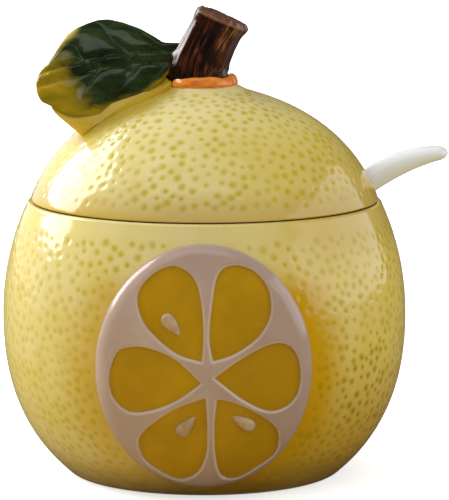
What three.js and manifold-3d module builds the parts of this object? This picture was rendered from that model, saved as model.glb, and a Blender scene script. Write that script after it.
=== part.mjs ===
// A glazed condiment pot in the shape of a lemon, with a lift-off lid and a spoon.
// Millimetres, +Z up. The origin is the middle of the foot, where the pot stands on the table.
// The lemon slice faces -Y. The spoon's handle leaves between pot and lid, to the right and rear.

import * as THREE from "three";
import { mergeVertices } from "three/addons/utils/BufferGeometryUtils.js";
import Module from "manifold-3d";

// Pot
const BELLY_RADIUS = 50;
const BELLY_HEIGHT = 40;
const BASE_POLE_DEPTH = 9.3;
const BASE_FULLNESS = 2.28;
const FOOT_TUCK = 3.2;
const FOOT_ROUND = 1.8;
const RIM_HEIGHT = 68;
const CROWN_POLE_ABOVE_RIM = 29.4;
const RIM_ROUND = 1.2;
const POT_WALL = 4;
const FLOOR_THICKNESS = 5;
const FLOOR_ROUND = 3;

// Clearance between luted or stacked pieces
const SEAT_GAP = 0.3;

// Lid
const LID_INSET = 0.6;
const LID_HEIGHT = 27.6;
const LID_EDGE_ROUND = 0.5;
const LID_EDGE_LEAN = 68.4;
const LID_EDGE_PULL = 17.8;
const LID_CROWN_SLOPE = 12.9;
const LID_CROWN_PULL = 14.5;
const LID_WALL = 4;
const FLANGE_CLEARANCE = 0.8;
const FLANGE_WALL = 3;
const FLANGE_DEPTH = 6;

// Collar and stem on the lid
const COLLAR_RADIUS = 8.3;
const COLLAR_HEIGHT = 2.7;
const COLLAR_TOP_WALL = 0.7;
const STEM_BASE_RADIUS = 6.9;
const STEM_TOP_RADIUS = 6.7;
const STEM_HEIGHT = 17;
const STEM_SHIFT = -0.8;
const STEM_REACH = 5.3;
const STEM_CUT_TILT = 23.5;
const STEM_STRAIGHT = 4.5;
const STEM_CHAMFER = 0.7;

// Leaf and the clay pad that holds it to the lid
const LEAF_RISE = 7.3;
const LEAF_LENGTH = 33.5;
const LEAF_HALF_WIDTH = 14.2;
const LEAF_THICKNESS = 3.2;
const LEAF_DROOP = 5.4;
const LEAF_FORWARD = 7;
const LEAF_TILT = 35;
const LEAF_CUP = 1.6;
const LEAF_ROOT_DEPTH = 4;
// Share of the half width above and below the midrib, by the share of the length
const LEAF_ABOVE = [
  [0, 0.28], [0.07, 0.3], [0.25, 0.65], [0.36, 0.83], [0.48, 0.96], [0.56, 0.97], [0.63, 0.94],
  [0.72, 0.87], [0.79, 0.76], [0.84, 0.58], [0.88, 0.42], [0.92, 0.31], [0.96, 0.23], [1, 0.1],
];
const LEAF_BELOW = [
  [0, 0.19], [0.07, 0.42], [0.25, 0.75], [0.36, 0.87], [0.48, 0.89], [0.56, 0.89], [0.63, 0.89],
  [0.72, 0.85], [0.79, 0.75], [0.88, 0.56], [0.95, 0.38], [1, 0.16],
];
const PAD_LIP = 1.8;
const PAD_SLOPE = 39;
const PAD_TOP_EDGE = 0.15;

// Spoon
const SPOON_AZIMUTH = 15;
const HANDLE_WIDTH = 7.5;
const HANDLE_THICKNESS = 6;
const HANDLE_NECK_WIDTH = 6;
const HANDLE_NECK_THICKNESS = 4.6;
const HANDLE_TIP_THICKNESS = 3.8;
const HANDLE_TIP_ROUND = 3.4;
const HANDLE_REST = 3.9;
const HANDLE_SLOPE = 31;
const HANDLE_REACH = 19.4;
const HANDLE_TIP_RISE = 9.8;
const HANDLE_TIP_SLOPE = 2;
const HANDLE_BEND = 20;
const BOWL_LENGTH = 30;
const BOWL_WIDTH = 21;
const BOWL_DEPTH = 7;
const BOWL_WALL = 2;
const BOWL_SLOPE = 25;
const BOWL_WALL_CLEARANCE = 3.5;
const NECK_OVERLAP = 2.4;
const NOTCH_CLEARANCE = 1;

// Lemon slice on the front
const SLICE_HALF_WIDTH = 25.9;
const SLICE_HALF_HEIGHT = 30.3;
const SLICE_HEIGHT = 33.3;
const SLICE_RELIEF = 2.2;
const SLICE_EDGE_STEP = 0.9;
const POCKET_DEPTH = 1.4;
const PULP_RECESS = 0.5;
const PIP_LENGTH = 6.2;
const PIP_WIDTH = 3.4;
const PIP_RELIEF = 1.2;
const PIP_TAPER = 0.45;

// Corners of each segment's outline, from its point near the hub and counter-clockwise,
// as shares of the slice's half width and half height from its middle
const SEGMENTS = [
  [[0.10, -0.03], [0.35, -0.21], [0.58, -0.31], [0.75, -0.29], [0.86, -0.19],
    [0.89, -0.01], [0.84, 0.16], [0.72, 0.23], [0.56, 0.21], [0.35, 0.12]],
  [[0.08, 0.10], [0.29, 0.16], [0.50, 0.28], [0.61, 0.45], [0.60, 0.65],
    [0.47, 0.79], [0.29, 0.85], [0.14, 0.79], [0.08, 0.58], [0.05, 0.29]],
  [[-0.01, 0.10], [0.00, 0.32], [-0.02, 0.60], [-0.10, 0.77], [-0.28, 0.84],
    [-0.48, 0.77], [-0.60, 0.61], [-0.57, 0.43], [-0.44, 0.29], [-0.23, 0.15]],
  [[-0.02, -0.07], [-0.24, 0.11], [-0.46, 0.19], [-0.65, 0.21], [-0.80, 0.15],
    [-0.87, -0.04], [-0.83, -0.21], [-0.69, -0.32], [-0.50, -0.31], [-0.24, -0.22]],
  [[0.02, -0.19], [-0.25, -0.28], [-0.48, -0.42], [-0.60, -0.56], [-0.56, -0.72],
    [-0.41, -0.83], [-0.22, -0.91], [-0.05, -0.83], [0.03, -0.66], [0.04, -0.42]],
  [[0.12, -0.20], [0.10, -0.42], [0.11, -0.70], [0.17, -0.87], [0.31, -0.89],
    [0.50, -0.80], [0.66, -0.68], [0.69, -0.50], [0.56, -0.37], [0.32, -0.24]],
];

// Each pip's place, as the same shares, and the direction that its thick end points in
const PIPS = [
  { across: -0.29, up: 0.39, turn: 129 },
  { across: -0.16, up: -0.43, turn: 230 },
  { across: 0.37, up: -0.40, turn: -33 },
];

// Facets
const LATHE_SIDES = 40;
const COLLAR_SIDES = 24;
const LOWER_STEPS = 10;
const UPPER_STEPS = 6;
const LID_STEPS = 10;
const ROUND_STEPS = 3;
const SECTION_SIDES = 16;
const PIP_SIDES = 12;
const STEM_STEPS = 7;
const HANDLE_STEPS = 9;
const LEAF_STEPS = 18;
const LEAF_SECTION_STEPS = 6;
const NOTCH_STEPS = 10;
const SEGMENT_STEPS = 30;
const SLICE_SIDES = 48;
const WELD = 1e-4;

const wasm = await Module();
wasm.setup();

const rad = THREE.MathUtils.degToRad;
const lerp = THREE.MathUtils.lerp;

// Solids

function signedVolume(positions, triangles) {
  const a = new THREE.Vector3();
  const b = new THREE.Vector3();
  const c = new THREE.Vector3();
  let volume = 0;
  for (let i = 0; i < triangles.length; i += 3) {
    a.fromArray(positions, 3 * triangles[i]);
    b.fromArray(positions, 3 * triangles[i + 1]);
    c.fromArray(positions, 3 * triangles[i + 2]);
    volume += a.dot(b.cross(c)) / 6;
  }
  return volume;
}

// Turns a closed geometry into a solid that can be joined and cut, with its faces pointing out.
function solidOf(geometry) {
  const bare = geometry.clone();
  bare.deleteAttribute("normal");
  bare.deleteAttribute("uv");
  const welded = mergeVertices(bare, WELD);
  const positions = welded.attributes.position.array;
  const index = welded.index.array;
  const triangles = [];
  for (let i = 0; i < index.length; i += 3) {
    const [p, q, r] = [index[i], index[i + 1], index[i + 2]];
    if (p !== q && q !== r && r !== p) {
      triangles.push(p, q, r);
    }
  }
  if (signedVolume(positions, triangles) < 0) {
    triangles.reverse();
  }
  const mesh = new wasm.Mesh({
    numProp: 3,
    vertProperties: Float32Array.from(positions),
    triVerts: Uint32Array.from(triangles),
  });
  return new wasm.Manifold(mesh);
}

function geometryOf(solid) {
  const mesh = solid.getMesh();
  const geometry = new THREE.BufferGeometry();
  geometry.setAttribute("position", new THREE.BufferAttribute(mesh.vertProperties, 3));
  geometry.setIndex(new THREE.BufferAttribute(mesh.triVerts, 1));
  geometry.computeVertexNormals();
  return geometry;
}

function turned(outline, sides = LATHE_SIDES) {
  const geometry = new THREE.LatheGeometry(outline, sides);
  geometry.rotateX(Math.PI / 2);
  return solidOf(geometry);
}

// A skin over equal rings of points, closed by a fan at each end.
function lofted(rings) {
  const count = rings[0].length;
  const points = rings.flat();
  const triangles = [];
  for (let i = 0; i + 1 < rings.length; i++) {
    for (let j = 0; j < count; j++) {
      const next = (j + 1) % count;
      const [a, b] = [i * count + j, i * count + next];
      triangles.push(a, b, b + count, a, b + count, a + count);
    }
  }
  for (const [ring, flip] of [[0, true], [rings.length - 1, false]]) {
    const middle = new THREE.Vector3();
    rings[ring].forEach((point) => middle.addScaledVector(point, 1 / count));
    points.push(middle);
    for (let j = 0; j < count; j++) {
      const a = ring * count + j;
      const b = ring * count + ((j + 1) % count);
      triangles.push(...(flip ? [b, a] : [a, b]), points.length - 1);
    }
  }
  const geometry = new THREE.BufferGeometry().setFromPoints(points);
  geometry.setIndex(triangles);
  return solidOf(geometry);
}

// A prism that stands out to the front, on an outline drawn in to its inside by a distance:
// the outline's x is X, its y is Z.
function frontPrism(outline, inset) {
  const depth = BELLY_RADIUS + 2 * SLICE_RELIEF;
  const section = new wasm.CrossSection(outline.map((point) => point.toArray()));
  return section.offset(-inset, "Miter").extrude(depth).rotate([90, 0, 0]);
}

// Outlines

function arc(radius, height, size, from, to) {
  const points = [];
  for (let i = 0; i <= ROUND_STEPS; i++) {
    const angle = rad(lerp(from, to, i / ROUND_STEPS));
    points.push(new THREE.Vector2(radius + size * Math.cos(angle), height + size * Math.sin(angle)));
  }
  return points;
}

// Moves an open outline to its right-hand side by a distance.
function offsetOutline(points, distance) {
  return points.map((point, i) => {
    const before = points[Math.max(i - 1, 0)];
    const after = points[Math.min(i + 1, points.length - 1)];
    const along = after.clone().sub(before).normalize();
    return new THREE.Vector2(point.x + along.y * distance, point.y - along.x * distance);
  });
}

const crownRise = RIM_HEIGHT - BELLY_HEIGHT + CROWN_POLE_ABOVE_RIM;

// The lemon's flank from one height to another: a full curve below the belly, an ellipse above it.
function flank(radius, drop, low, high) {
  const power = 2 / BASE_FULLNESS;
  const start = Math.asin(((BELLY_HEIGHT - low) / drop) ** (1 / power));
  const end = Math.asin((high - BELLY_HEIGHT) / crownRise);
  const points = [];
  for (let i = 0; i < LOWER_STEPS; i++) {
    const angle = start * (1 - i / LOWER_STEPS);
    points.push(new THREE.Vector2(
      radius * Math.cos(angle) ** power,
      BELLY_HEIGHT - drop * Math.sin(angle) ** power,
    ));
  }
  for (let i = 0; i <= UPPER_STEPS; i++) {
    const angle = (end * i) / UPPER_STEPS;
    points.push(new THREE.Vector2(
      radius * Math.cos(angle),
      BELLY_HEIGHT + crownRise * Math.sin(angle),
    ));
  }
  return points;
}

function flankRadius(radius, drop, height) {
  if (height >= BELLY_HEIGHT) {
    return radius * Math.sqrt(1 - ((height - BELLY_HEIGHT) / crownRise) ** 2);
  }
  const fall = ((BELLY_HEIGHT - height) / drop) ** BASE_FULLNESS;
  return radius * (1 - fall) ** (1 / BASE_FULLNESS);
}

const outerDrop = BELLY_HEIGHT + BASE_POLE_DEPTH;
const innerDrop = outerDrop - FLOOR_THICKNESS;
const innerBellyRadius = BELLY_RADIUS - POT_WALL;
const rimRadius = flankRadius(BELLY_RADIUS, outerDrop, RIM_HEIGHT);
const mouthRadius = flankRadius(innerBellyRadius, innerDrop, RIM_HEIGHT);
const footRadius = flankRadius(BELLY_RADIUS, outerDrop, FOOT_ROUND) - FOOT_TUCK;

// The lemon's body as a full solid, grown by a distance, to cut what lies on it.
function bodyGrownBy(distance) {
  const skin = flank(BELLY_RADIUS, outerDrop, FOOT_ROUND, RIM_HEIGHT);
  const outline = offsetOutline(skin, distance);
  const bottom = new THREE.Vector2(0, outline[0].y);
  const top = new THREE.Vector2(0, outline[outline.length - 1].y);
  return turned([bottom, ...outline, top]);
}

// Spoon: its middle line lies in one upright plane, as distance from the pot's axis and height

const bowlHalfLength = BOWL_LENGTH / 2;
const bowlSlope = rad(BOWL_SLOPE);
const bowlHang = Math.hypot(bowlHalfLength * Math.sin(bowlSlope), BOWL_DEPTH * Math.cos(bowlSlope));
const bowlHeight = FLOOR_THICKNESS + SEAT_GAP + bowlHang;
const bowlTipHeight = bowlHeight - bowlHalfLength * Math.sin(bowlSlope);
const bowlTipReach = flankRadius(innerBellyRadius, innerDrop, bowlTipHeight) - BOWL_WALL_CLEARANCE;
const bowlAcross = bowlHalfLength * Math.cos(bowlSlope) - bowlTipReach;

const spoonFrame = new THREE.Matrix4().makeRotationZ(rad(SPOON_AZIMUTH));

const neckRun = bowlHalfLength - NECK_OVERLAP;
const neck = new THREE.Vector2(
  bowlAcross + neckRun * Math.cos(bowlSlope),
  bowlHeight + neckRun * Math.sin(bowlSlope),
);
const handleRest = new THREE.Vector2(rimRadius, RIM_HEIGHT + HANDLE_REST);
const handleTip = new THREE.Vector2(rimRadius + HANDLE_REACH, RIM_HEIGHT + HANDLE_TIP_RISE);

function handleCurves() {
  const restSlope = new THREE.Vector2(Math.cos(rad(HANDLE_SLOPE)), Math.sin(rad(HANDLE_SLOPE)));
  const inner = handleRest.clone().addScaledVector(restSlope, -HANDLE_BEND);
  const gap = handleTip.clone().sub(handleRest);
  const tipSlope = Math.tan(rad(HANDLE_TIP_SLOPE));
  const run = (gap.y - gap.x * tipSlope) / (restSlope.y - restSlope.x * tipSlope);
  const outer = handleRest.clone().addScaledVector(restSlope, run);
  return [
    new THREE.QuadraticBezierCurve(neck, inner, handleRest),
    new THREE.QuadraticBezierCurve(handleRest, outer, handleTip),
  ];
}

// One oval section of the handle, square to its middle line.
function handleRing(curve, t, width, thickness) {
  const middle = curve.getPoint(t);
  const along = curve.getTangent(t);
  const ring = [];
  for (let i = 0; i < SECTION_SIDES; i++) {
    const angle = (2 * Math.PI * i) / SECTION_SIDES;
    const up = (thickness / 2) * Math.sin(angle);
    const side = (width / 2) * Math.cos(angle);
    const point = new THREE.Vector3(middle.x - along.y * up, side, middle.y + along.x * up);
    ring.push(point.applyMatrix4(spoonFrame));
  }
  return ring;
}

function handle(grow) {
  const [inside, outside] = handleCurves();
  const rings = [];
  for (let i = 0; i < HANDLE_STEPS; i++) {
    const t = i / HANDLE_STEPS;
    const width = lerp(HANDLE_NECK_WIDTH, HANDLE_WIDTH, t);
    const thickness = lerp(HANDLE_NECK_THICKNESS, HANDLE_THICKNESS, t);
    rings.push(handleRing(inside, t, width + 2 * grow, thickness + 2 * grow));
  }
  const straightShare = 1 - HANDLE_TIP_ROUND / outside.getLength();
  for (let i = 0; i <= HANDLE_STEPS; i++) {
    const t = straightShare * (i / HANDLE_STEPS);
    const thickness = lerp(HANDLE_THICKNESS, HANDLE_TIP_THICKNESS, t * t);
    rings.push(handleRing(outside, t, HANDLE_WIDTH + 2 * grow, thickness + 2 * grow));
  }
  for (let i = 1; i <= ROUND_STEPS; i++) {
    const angle = (Math.PI / 2) * (i / (ROUND_STEPS + 1));
    const t = lerp(straightShare, 1, Math.sin(angle));
    const width = HANDLE_WIDTH * Math.cos(angle) + 2 * grow;
    const thickness = HANDLE_TIP_THICKNESS * Math.cos(angle) + 2 * grow;
    rings.push(handleRing(outside, t, width, thickness));
  }
  return lofted(rings);
}

function bowlShell(wall) {
  const geometry = new THREE.SphereGeometry(1, SECTION_SIDES + 4, SECTION_SIDES);
  geometry.rotateX(Math.PI / 2);
  geometry.scale(bowlHalfLength - wall, BOWL_WIDTH / 2 - wall, BOWL_DEPTH - wall);
  geometry.rotateY(-bowlSlope);
  geometry.translate(bowlAcross, 0, bowlHeight);
  geometry.applyMatrix4(spoonFrame);
  return solidOf(geometry);
}

function aboveBowl() {
  const geometry = new THREE.BoxGeometry(2 * BOWL_LENGTH, 2 * BOWL_WIDTH, 2 * BOWL_DEPTH);
  geometry.translate(0, 0, BOWL_DEPTH);
  geometry.rotateY(-bowlSlope);
  geometry.translate(bowlAcross, 0, bowlHeight);
  geometry.applyMatrix4(spoonFrame);
  return solidOf(geometry);
}

function spoon() {
  const bowl = bowlShell(0).subtract(aboveBowl());
  return bowl.add(handle(0)).subtract(bowlShell(BOWL_WALL));
}

// Pot body

function potBody() {
  const skin = flank(BELLY_RADIUS, outerDrop, FOOT_ROUND, RIM_HEIGHT - RIM_ROUND);
  const lining = flank(innerBellyRadius, innerDrop, FLOOR_THICKNESS + FLOOR_ROUND, RIM_HEIGHT - RIM_ROUND);
  const rimOuter = skin[skin.length - 1].x - RIM_ROUND;
  const rimInner = lining[lining.length - 1].x + RIM_ROUND;
  const footCorner = new THREE.Vector2(footRadius + FOOT_TUCK / 2, 0);
  const footCurve = new THREE.QuadraticBezierCurve(new THREE.Vector2(footRadius, 0), footCorner, skin[0]);
  const floorRadius = lining[0].x - FLOOR_ROUND;
  const floorCorner = new THREE.Vector2(floorRadius + FLOOR_ROUND / 2, FLOOR_THICKNESS);
  const floorCurve = new THREE.QuadraticBezierCurve(
    lining[0],
    floorCorner,
    new THREE.Vector2(floorRadius, FLOOR_THICKNESS),
  );
  const outline = [
    new THREE.Vector2(0, 0),
    ...footCurve.getPoints(ROUND_STEPS).slice(0, -1),
    ...skin.slice(0, -1),
    ...arc(rimOuter, RIM_HEIGHT - RIM_ROUND, RIM_ROUND, 0, 90),
    ...arc(rimInner, RIM_HEIGHT - RIM_ROUND, RIM_ROUND, 90, 180),
    ...lining.slice(0, -1).reverse(),
    ...floorCurve.getPoints(ROUND_STEPS).slice(1),
    new THREE.Vector2(0, FLOOR_THICKNESS),
  ];
  return turned(outline).subtract(handle(SEAT_GAP));
}

// Lid

const lidEdgeRadius = rimRadius - LID_INSET;
const lidEdgeHeight = RIM_HEIGHT + SEAT_GAP;
const seatHeight = lidEdgeHeight + LID_HEIGHT;
const flangeRadius = mouthRadius - FLANGE_CLEARANCE;
const flangeInner = flangeRadius - FLANGE_WALL;

// The lid's outer curve, from its edge up to the flat seat of the stem.
function lidCurve() {
  const edge = new THREE.Vector2(lidEdgeRadius, lidEdgeHeight + LID_EDGE_ROUND);
  const seat = new THREE.Vector2(COLLAR_RADIUS, seatHeight);
  const lean = rad(LID_EDGE_LEAN);
  const slope = rad(LID_CROWN_SLOPE);
  const rising = new THREE.Vector2(-Math.cos(lean), Math.sin(lean)).multiplyScalar(LID_EDGE_PULL);
  const falling = new THREE.Vector2(Math.cos(slope), -Math.sin(slope)).multiplyScalar(LID_CROWN_PULL);
  return new THREE.CubicBezierCurve(edge, edge.clone().add(rising), seat.clone().add(falling), seat);
}

function lidGrownBy(distance) {
  const outline = offsetOutline(lidCurve().getPoints(LID_STEPS), distance);
  const top = outline[outline.length - 1].y;
  return turned([
    new THREE.Vector2(0, lidEdgeHeight - distance),
    new THREE.Vector2(outline[0].x, lidEdgeHeight - distance),
    ...outline,
    new THREE.Vector2(0, top),
  ]);
}

// The notch for the spoon's handle: open below, round above.
function lidNotch() {
  const half = HANDLE_WIDTH / 2 + NOTCH_CLEARANCE;
  const rise = HANDLE_THICKNESS / 2 / Math.cos(rad(HANDLE_SLOPE));
  const top = RIM_HEIGHT + HANDLE_REST + rise + NOTCH_CLEARANCE;
  const bottom = lidEdgeHeight - 2 * FLANGE_DEPTH;
  const shape = new THREE.Shape();
  shape.moveTo(-half, bottom);
  shape.lineTo(half, bottom);
  shape.lineTo(half, top - half);
  shape.absarc(0, top - half, half, 0, Math.PI, false);
  const depth = 2 * (rimRadius - flangeInner);
  const geometry = new THREE.ExtrudeGeometry(shape, {
    depth,
    bevelEnabled: false,
    curveSegments: NOTCH_STEPS,
  });
  geometry.rotateX(Math.PI / 2);
  geometry.rotateZ(Math.PI / 2);
  geometry.translate(flangeInner - FLANGE_WALL, 0, 0);
  geometry.applyMatrix4(spoonFrame);
  return solidOf(geometry);
}

function lidShell() {
  const skin = lidCurve().getPoints(LID_STEPS);
  const inside = offsetOutline(skin, -LID_WALL).filter((point) => point.x < flangeInner);
  const lining = inside.reverse();
  const outline = [
    new THREE.Vector2(0, lining[0].y),
    ...lining,
    new THREE.Vector2(flangeInner, lining[lining.length - 1].y - FLANGE_WALL),
    new THREE.Vector2(flangeInner, lidEdgeHeight - FLANGE_DEPTH),
    new THREE.Vector2(flangeRadius, lidEdgeHeight - FLANGE_DEPTH),
    new THREE.Vector2(flangeRadius, lidEdgeHeight),
    ...arc(lidEdgeRadius - LID_EDGE_ROUND, lidEdgeHeight + LID_EDGE_ROUND, LID_EDGE_ROUND, -90, 0),
    ...skin.slice(1),
    new THREE.Vector2(0, seatHeight),
  ];
  return turned(outline).subtract(lidNotch());
}

// Collar and stem

const collarBottom = seatHeight + SEAT_GAP;

function collar(grow) {
  const inner = STEM_BASE_RADIUS + SEAT_GAP;
  const topRadius = inner + COLLAR_TOP_WALL;
  const bulge = new THREE.QuadraticBezierCurve(
    new THREE.Vector2(COLLAR_RADIUS + grow, collarBottom),
    new THREE.Vector2(COLLAR_RADIUS + grow, collarBottom + COLLAR_HEIGHT),
    new THREE.Vector2(topRadius + grow, collarBottom + COLLAR_HEIGHT + grow),
  );
  return [inner, bulge.getPoints(2 * ROUND_STEPS)];
}

function stemCollar() {
  const [inner, bulge] = collar(0);
  const outline = [
    new THREE.Vector2(inner, collarBottom),
    ...bulge,
    new THREE.Vector2(inner, collarBottom + COLLAR_HEIGHT),
    new THREE.Vector2(inner, collarBottom),
  ];
  const ring = turned(outline, COLLAR_SIDES);
  return ring.translate(STEM_SHIFT, 0, 0);
}

function collarGrownBy(distance) {
  const [, bulge] = collar(distance);
  const bottom = new THREE.Vector2(0, collarBottom);
  const top = new THREE.Vector2(0, bulge[bulge.length - 1].y);
  return turned([bottom, ...bulge, top], COLLAR_SIDES).translate(STEM_SHIFT, 0, 0);
}

function stemCurve() {
  const bottom = new THREE.Vector3(STEM_SHIFT, 0, collarBottom);
  const straight = new THREE.Vector3(STEM_SHIFT, 0, collarBottom + COLLAR_HEIGHT);
  const top = new THREE.Vector3(STEM_SHIFT + STEM_REACH, 0, seatHeight + STEM_HEIGHT);
  const elbow = straight.clone().add(new THREE.Vector3(0, 0, STEM_STRAIGHT));
  const bend = new THREE.QuadraticBezierCurve3(straight, elbow, top);
  return [bottom, bend];
}

function stemRing(middle, along, radius) {
  const ring = [];
  for (let i = 0; i < SECTION_SIDES; i++) {
    const angle = (2 * Math.PI * i) / SECTION_SIDES;
    const side = radius * Math.cos(angle);
    ring.push(new THREE.Vector3(
      middle.x + along.z * side,
      middle.y + radius * Math.sin(angle),
      middle.z - along.x * side,
    ));
  }
  return ring;
}

// The stem's sections tilt little by little, up to the tilt of its cut end.
function leanDirection(share) {
  const lean = rad(STEM_CUT_TILT) * share;
  return new THREE.Vector3(Math.sin(lean), 0, Math.cos(lean));
}

function stem(grow) {
  const [bottom, bend] = stemCurve();
  const rings = [stemRing(bottom, leanDirection(0), STEM_BASE_RADIUS + grow)];
  for (let i = 0; i <= STEM_STEPS; i++) {
    const t = i / STEM_STEPS;
    const radius = lerp(STEM_BASE_RADIUS, STEM_TOP_RADIUS, t) + grow;
    rings.push(stemRing(bend.getPoint(t), leanDirection(t), radius));
  }
  const along = leanDirection(1);
  const rim = bend.getPoint(1).addScaledVector(along, STEM_CHAMFER + grow);
  rings.push(stemRing(rim, along, STEM_TOP_RADIUS - STEM_CHAMFER + grow));
  return lofted(rings);
}

// Leaf and pad

const leafBaseHeight = seatHeight + LEAF_RISE;
const leafBaseX = STEM_SHIFT - STEM_BASE_RADIUS;
const leafUp = new THREE.Vector3(0, Math.sin(rad(LEAF_TILT)), Math.cos(rad(LEAF_TILT)));
const leafOut = new THREE.Vector3(0, -Math.cos(rad(LEAF_TILT)), Math.sin(rad(LEAF_TILT)));

// The midrib, from 0 at the stem to 1 at the tip.
function midrib(u) {
  return new THREE.Vector3(
    leafBaseX - LEAF_LENGTH * u,
    -LEAF_FORWARD * u * u,
    leafBaseHeight - LEAF_DROOP * u * u,
  );
}

function leafHalfWidth(u, v) {
  const table = v > 0 ? LEAF_ABOVE : LEAF_BELOW;
  const run = THREE.MathUtils.clamp(u, 0, 1);
  const next = Math.max(1, table.findIndex(([place]) => place >= run));
  const [[from, start], [to, end]] = [table[next - 1], table[next]];
  return LEAF_HALF_WIDTH * lerp(start, end, (run - from) / (to - from));
}

// A point of the leaf: u along the midrib, v across from the lower edge (-1) to the upper one (1).
function leafPoint(u, v, lift, grow) {
  const half = leafHalfWidth(u, v) + grow;
  const point = midrib(u).addScaledVector(leafUp, half * v);
  return point.addScaledVector(leafOut, lift - LEAF_CUP * v * v * (half / LEAF_HALF_WIDTH));
}

function leafRing(u, grow) {
  const ring = [];
  const steps = 2 * LEAF_SECTION_STEPS;
  for (let i = 0; i < 2 * steps; i++) {
    const angle = (Math.PI * (i + 0.5)) / steps;
    const lift = (LEAF_THICKNESS / 2 + grow) * Math.sin(angle);
    ring.push(leafPoint(u, Math.cos(angle), lift, grow));
  }
  return ring;
}

function leafBlade(grow) {
  const root = -LEAF_ROOT_DEPTH / LEAF_LENGTH;
  const tip = 1 - LEAF_THICKNESS / 4 / LEAF_LENGTH;
  const rings = [];
  for (let i = 0; i <= LEAF_STEPS; i++) {
    rings.push(leafRing(lerp(root, tip, i / LEAF_STEPS), grow));
  }
  return lofted(rings);
}

function leaf() {
  return leafBlade(0)
    .subtract(lidGrownBy(SEAT_GAP))
    .subtract(stem(SEAT_GAP))
    .subtract(collarGrownBy(SEAT_GAP));
}

// The pad fills the space from the leaf's lower half down to the lid,
// under a slope that runs from the leaf's tip to the lid's shoulder.
function leafPad() {
  const last = 1 - LEAF_THICKNESS / LEAF_LENGTH;
  const tip = leafPoint(last, -1, 0, 0);
  const rings = [];
  for (let i = 0; i <= LEAF_STEPS; i++) {
    const u = lerp(0, last, i / LEAF_STEPS);
    const front = leafPoint(u, -1, 0, PAD_LIP * (1 - u));
    const back = leafPoint(u, -PAD_TOP_EDGE, -LEAF_THICKNESS, 0);
    const slope = tip.z - LEAF_THICKNESS / 2 - (front.x - tip.x) * Math.tan(rad(PAD_SLOPE));
    const low = Math.max(slope, lidEdgeHeight + LID_WALL);
    const foot = Math.min(low, front.z - LEAF_THICKNESS / 2);
    rings.push([
      front,
      leafPoint(u, -PAD_TOP_EDGE, 0, 0),
      back,
      new THREE.Vector3(back.x, back.y, foot),
      new THREE.Vector3(front.x, front.y, foot),
    ]);
  }
  return lofted(rings)
    .subtract(leafBlade(SEAT_GAP))
    .subtract(lidGrownBy(SEAT_GAP))
    .subtract(stem(SEAT_GAP))
    .subtract(collarGrownBy(SEAT_GAP));
}

// Lemon slice

// A place on the slice as seen from the front, by shares of its half width and half height.
function onSlice(across, up) {
  return new THREE.Vector2(SLICE_HALF_WIDTH * across, SLICE_HEIGHT + SLICE_HALF_HEIGHT * up);
}

function sliceOutline() {
  const points = [];
  for (let i = 0; i < SLICE_SIDES; i++) {
    const angle = (2 * Math.PI * i) / SLICE_SIDES;
    points.push(onSlice(Math.cos(angle), Math.sin(angle)));
  }
  return points;
}

// One segment of the slice: pointed at the hub, round at the rind.
function segmentOutline(corners) {
  const places = corners.map(([across, up]) => onSlice(across, up));
  const curve = new THREE.SplineCurve([...places, places[0]]);
  return curve.getPoints(SEGMENT_STEPS).slice(0, -1);
}

const pocketFloor = SLICE_RELIEF - POCKET_DEPTH;
const pulpTop = SLICE_RELIEF - PULP_RECESS;

function slicePith() {
  const lower = frontPrism(sliceOutline(), 0);
  const upper = frontPrism(sliceOutline(), SLICE_EDGE_STEP);
  const shoulder = bodyGrownBy(SLICE_RELIEF - SLICE_EDGE_STEP);
  let pith = lower.intersect(shoulder).add(upper.intersect(bodyGrownBy(SLICE_RELIEF)));
  pith = pith.subtract(bodyGrownBy(SEAT_GAP));
  const floor = bodyGrownBy(pocketFloor);
  for (const corners of SEGMENTS) {
    pith = pith.subtract(frontPrism(segmentOutline(corners), 0).subtract(floor));
  }
  return pith;
}

function pulpSegment(corners) {
  return frontPrism(segmentOutline(corners), SEAT_GAP)
    .intersect(bodyGrownBy(pulpTop))
    .subtract(bodyGrownBy(pocketFloor + SEAT_GAP));
}

function pip({ across, up, turn }) {
  const angle = rad(turn);
  const place = onSlice(across, up);
  const base = pulpTop + SEAT_GAP;
  const reach = flankRadius(BELLY_RADIUS, outerDrop, place.y) + base;
  const geometry = new THREE.SphereGeometry(1, PIP_SIDES, PIP_SIDES / 2);
  geometry.rotateZ(Math.PI / 2);
  const positions = geometry.attributes.position;
  for (let i = 0; i < positions.count; i++) {
    const taper = 1 + PIP_TAPER * positions.getX(i);
    positions.setXYZ(i, positions.getX(i), positions.getY(i) * taper, positions.getZ(i) * taper);
  }
  geometry.scale(PIP_LENGTH / 2, PIP_RELIEF, PIP_WIDTH / 2 / (1 + PIP_TAPER / 2));
  geometry.rotateY(-angle);
  geometry.translate(place.x, -Math.sqrt(reach ** 2 - place.x ** 2), place.y);
  return solidOf(geometry).subtract(bodyGrownBy(base));
}

// Finishes

const finishes = {
  rind: { color: 0xdcc46a, roughness: 0.2, metalness: 0 },
  pith: { color: 0xbfa99e, roughness: 0.25, metalness: 0 },
  pulp: { color: 0xa67c1c, roughness: 0.22, metalness: 0 },
  seed: { color: 0xb39672, roughness: 0.25, metalness: 0 },
  bark: { color: 0x45240f, roughness: 0.25, metalness: 0 },
  collar: { color: 0xcf7728, roughness: 0.25, metalness: 0 },
  leaf: { color: 0x2d3a1c, roughness: 0.22, metalness: 0 },
  pad: { color: 0xbb9a39, roughness: 0.22, metalness: 0 },
  china: { color: 0xe9e9ea, roughness: 0.15, metalness: 0 },
};

function piece(name, solid, finish) {
  const mesh = new THREE.Mesh(geometryOf(solid), new THREE.MeshStandardMaterial(finishes[finish]));
  mesh.name = name;
  return mesh;
}

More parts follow.
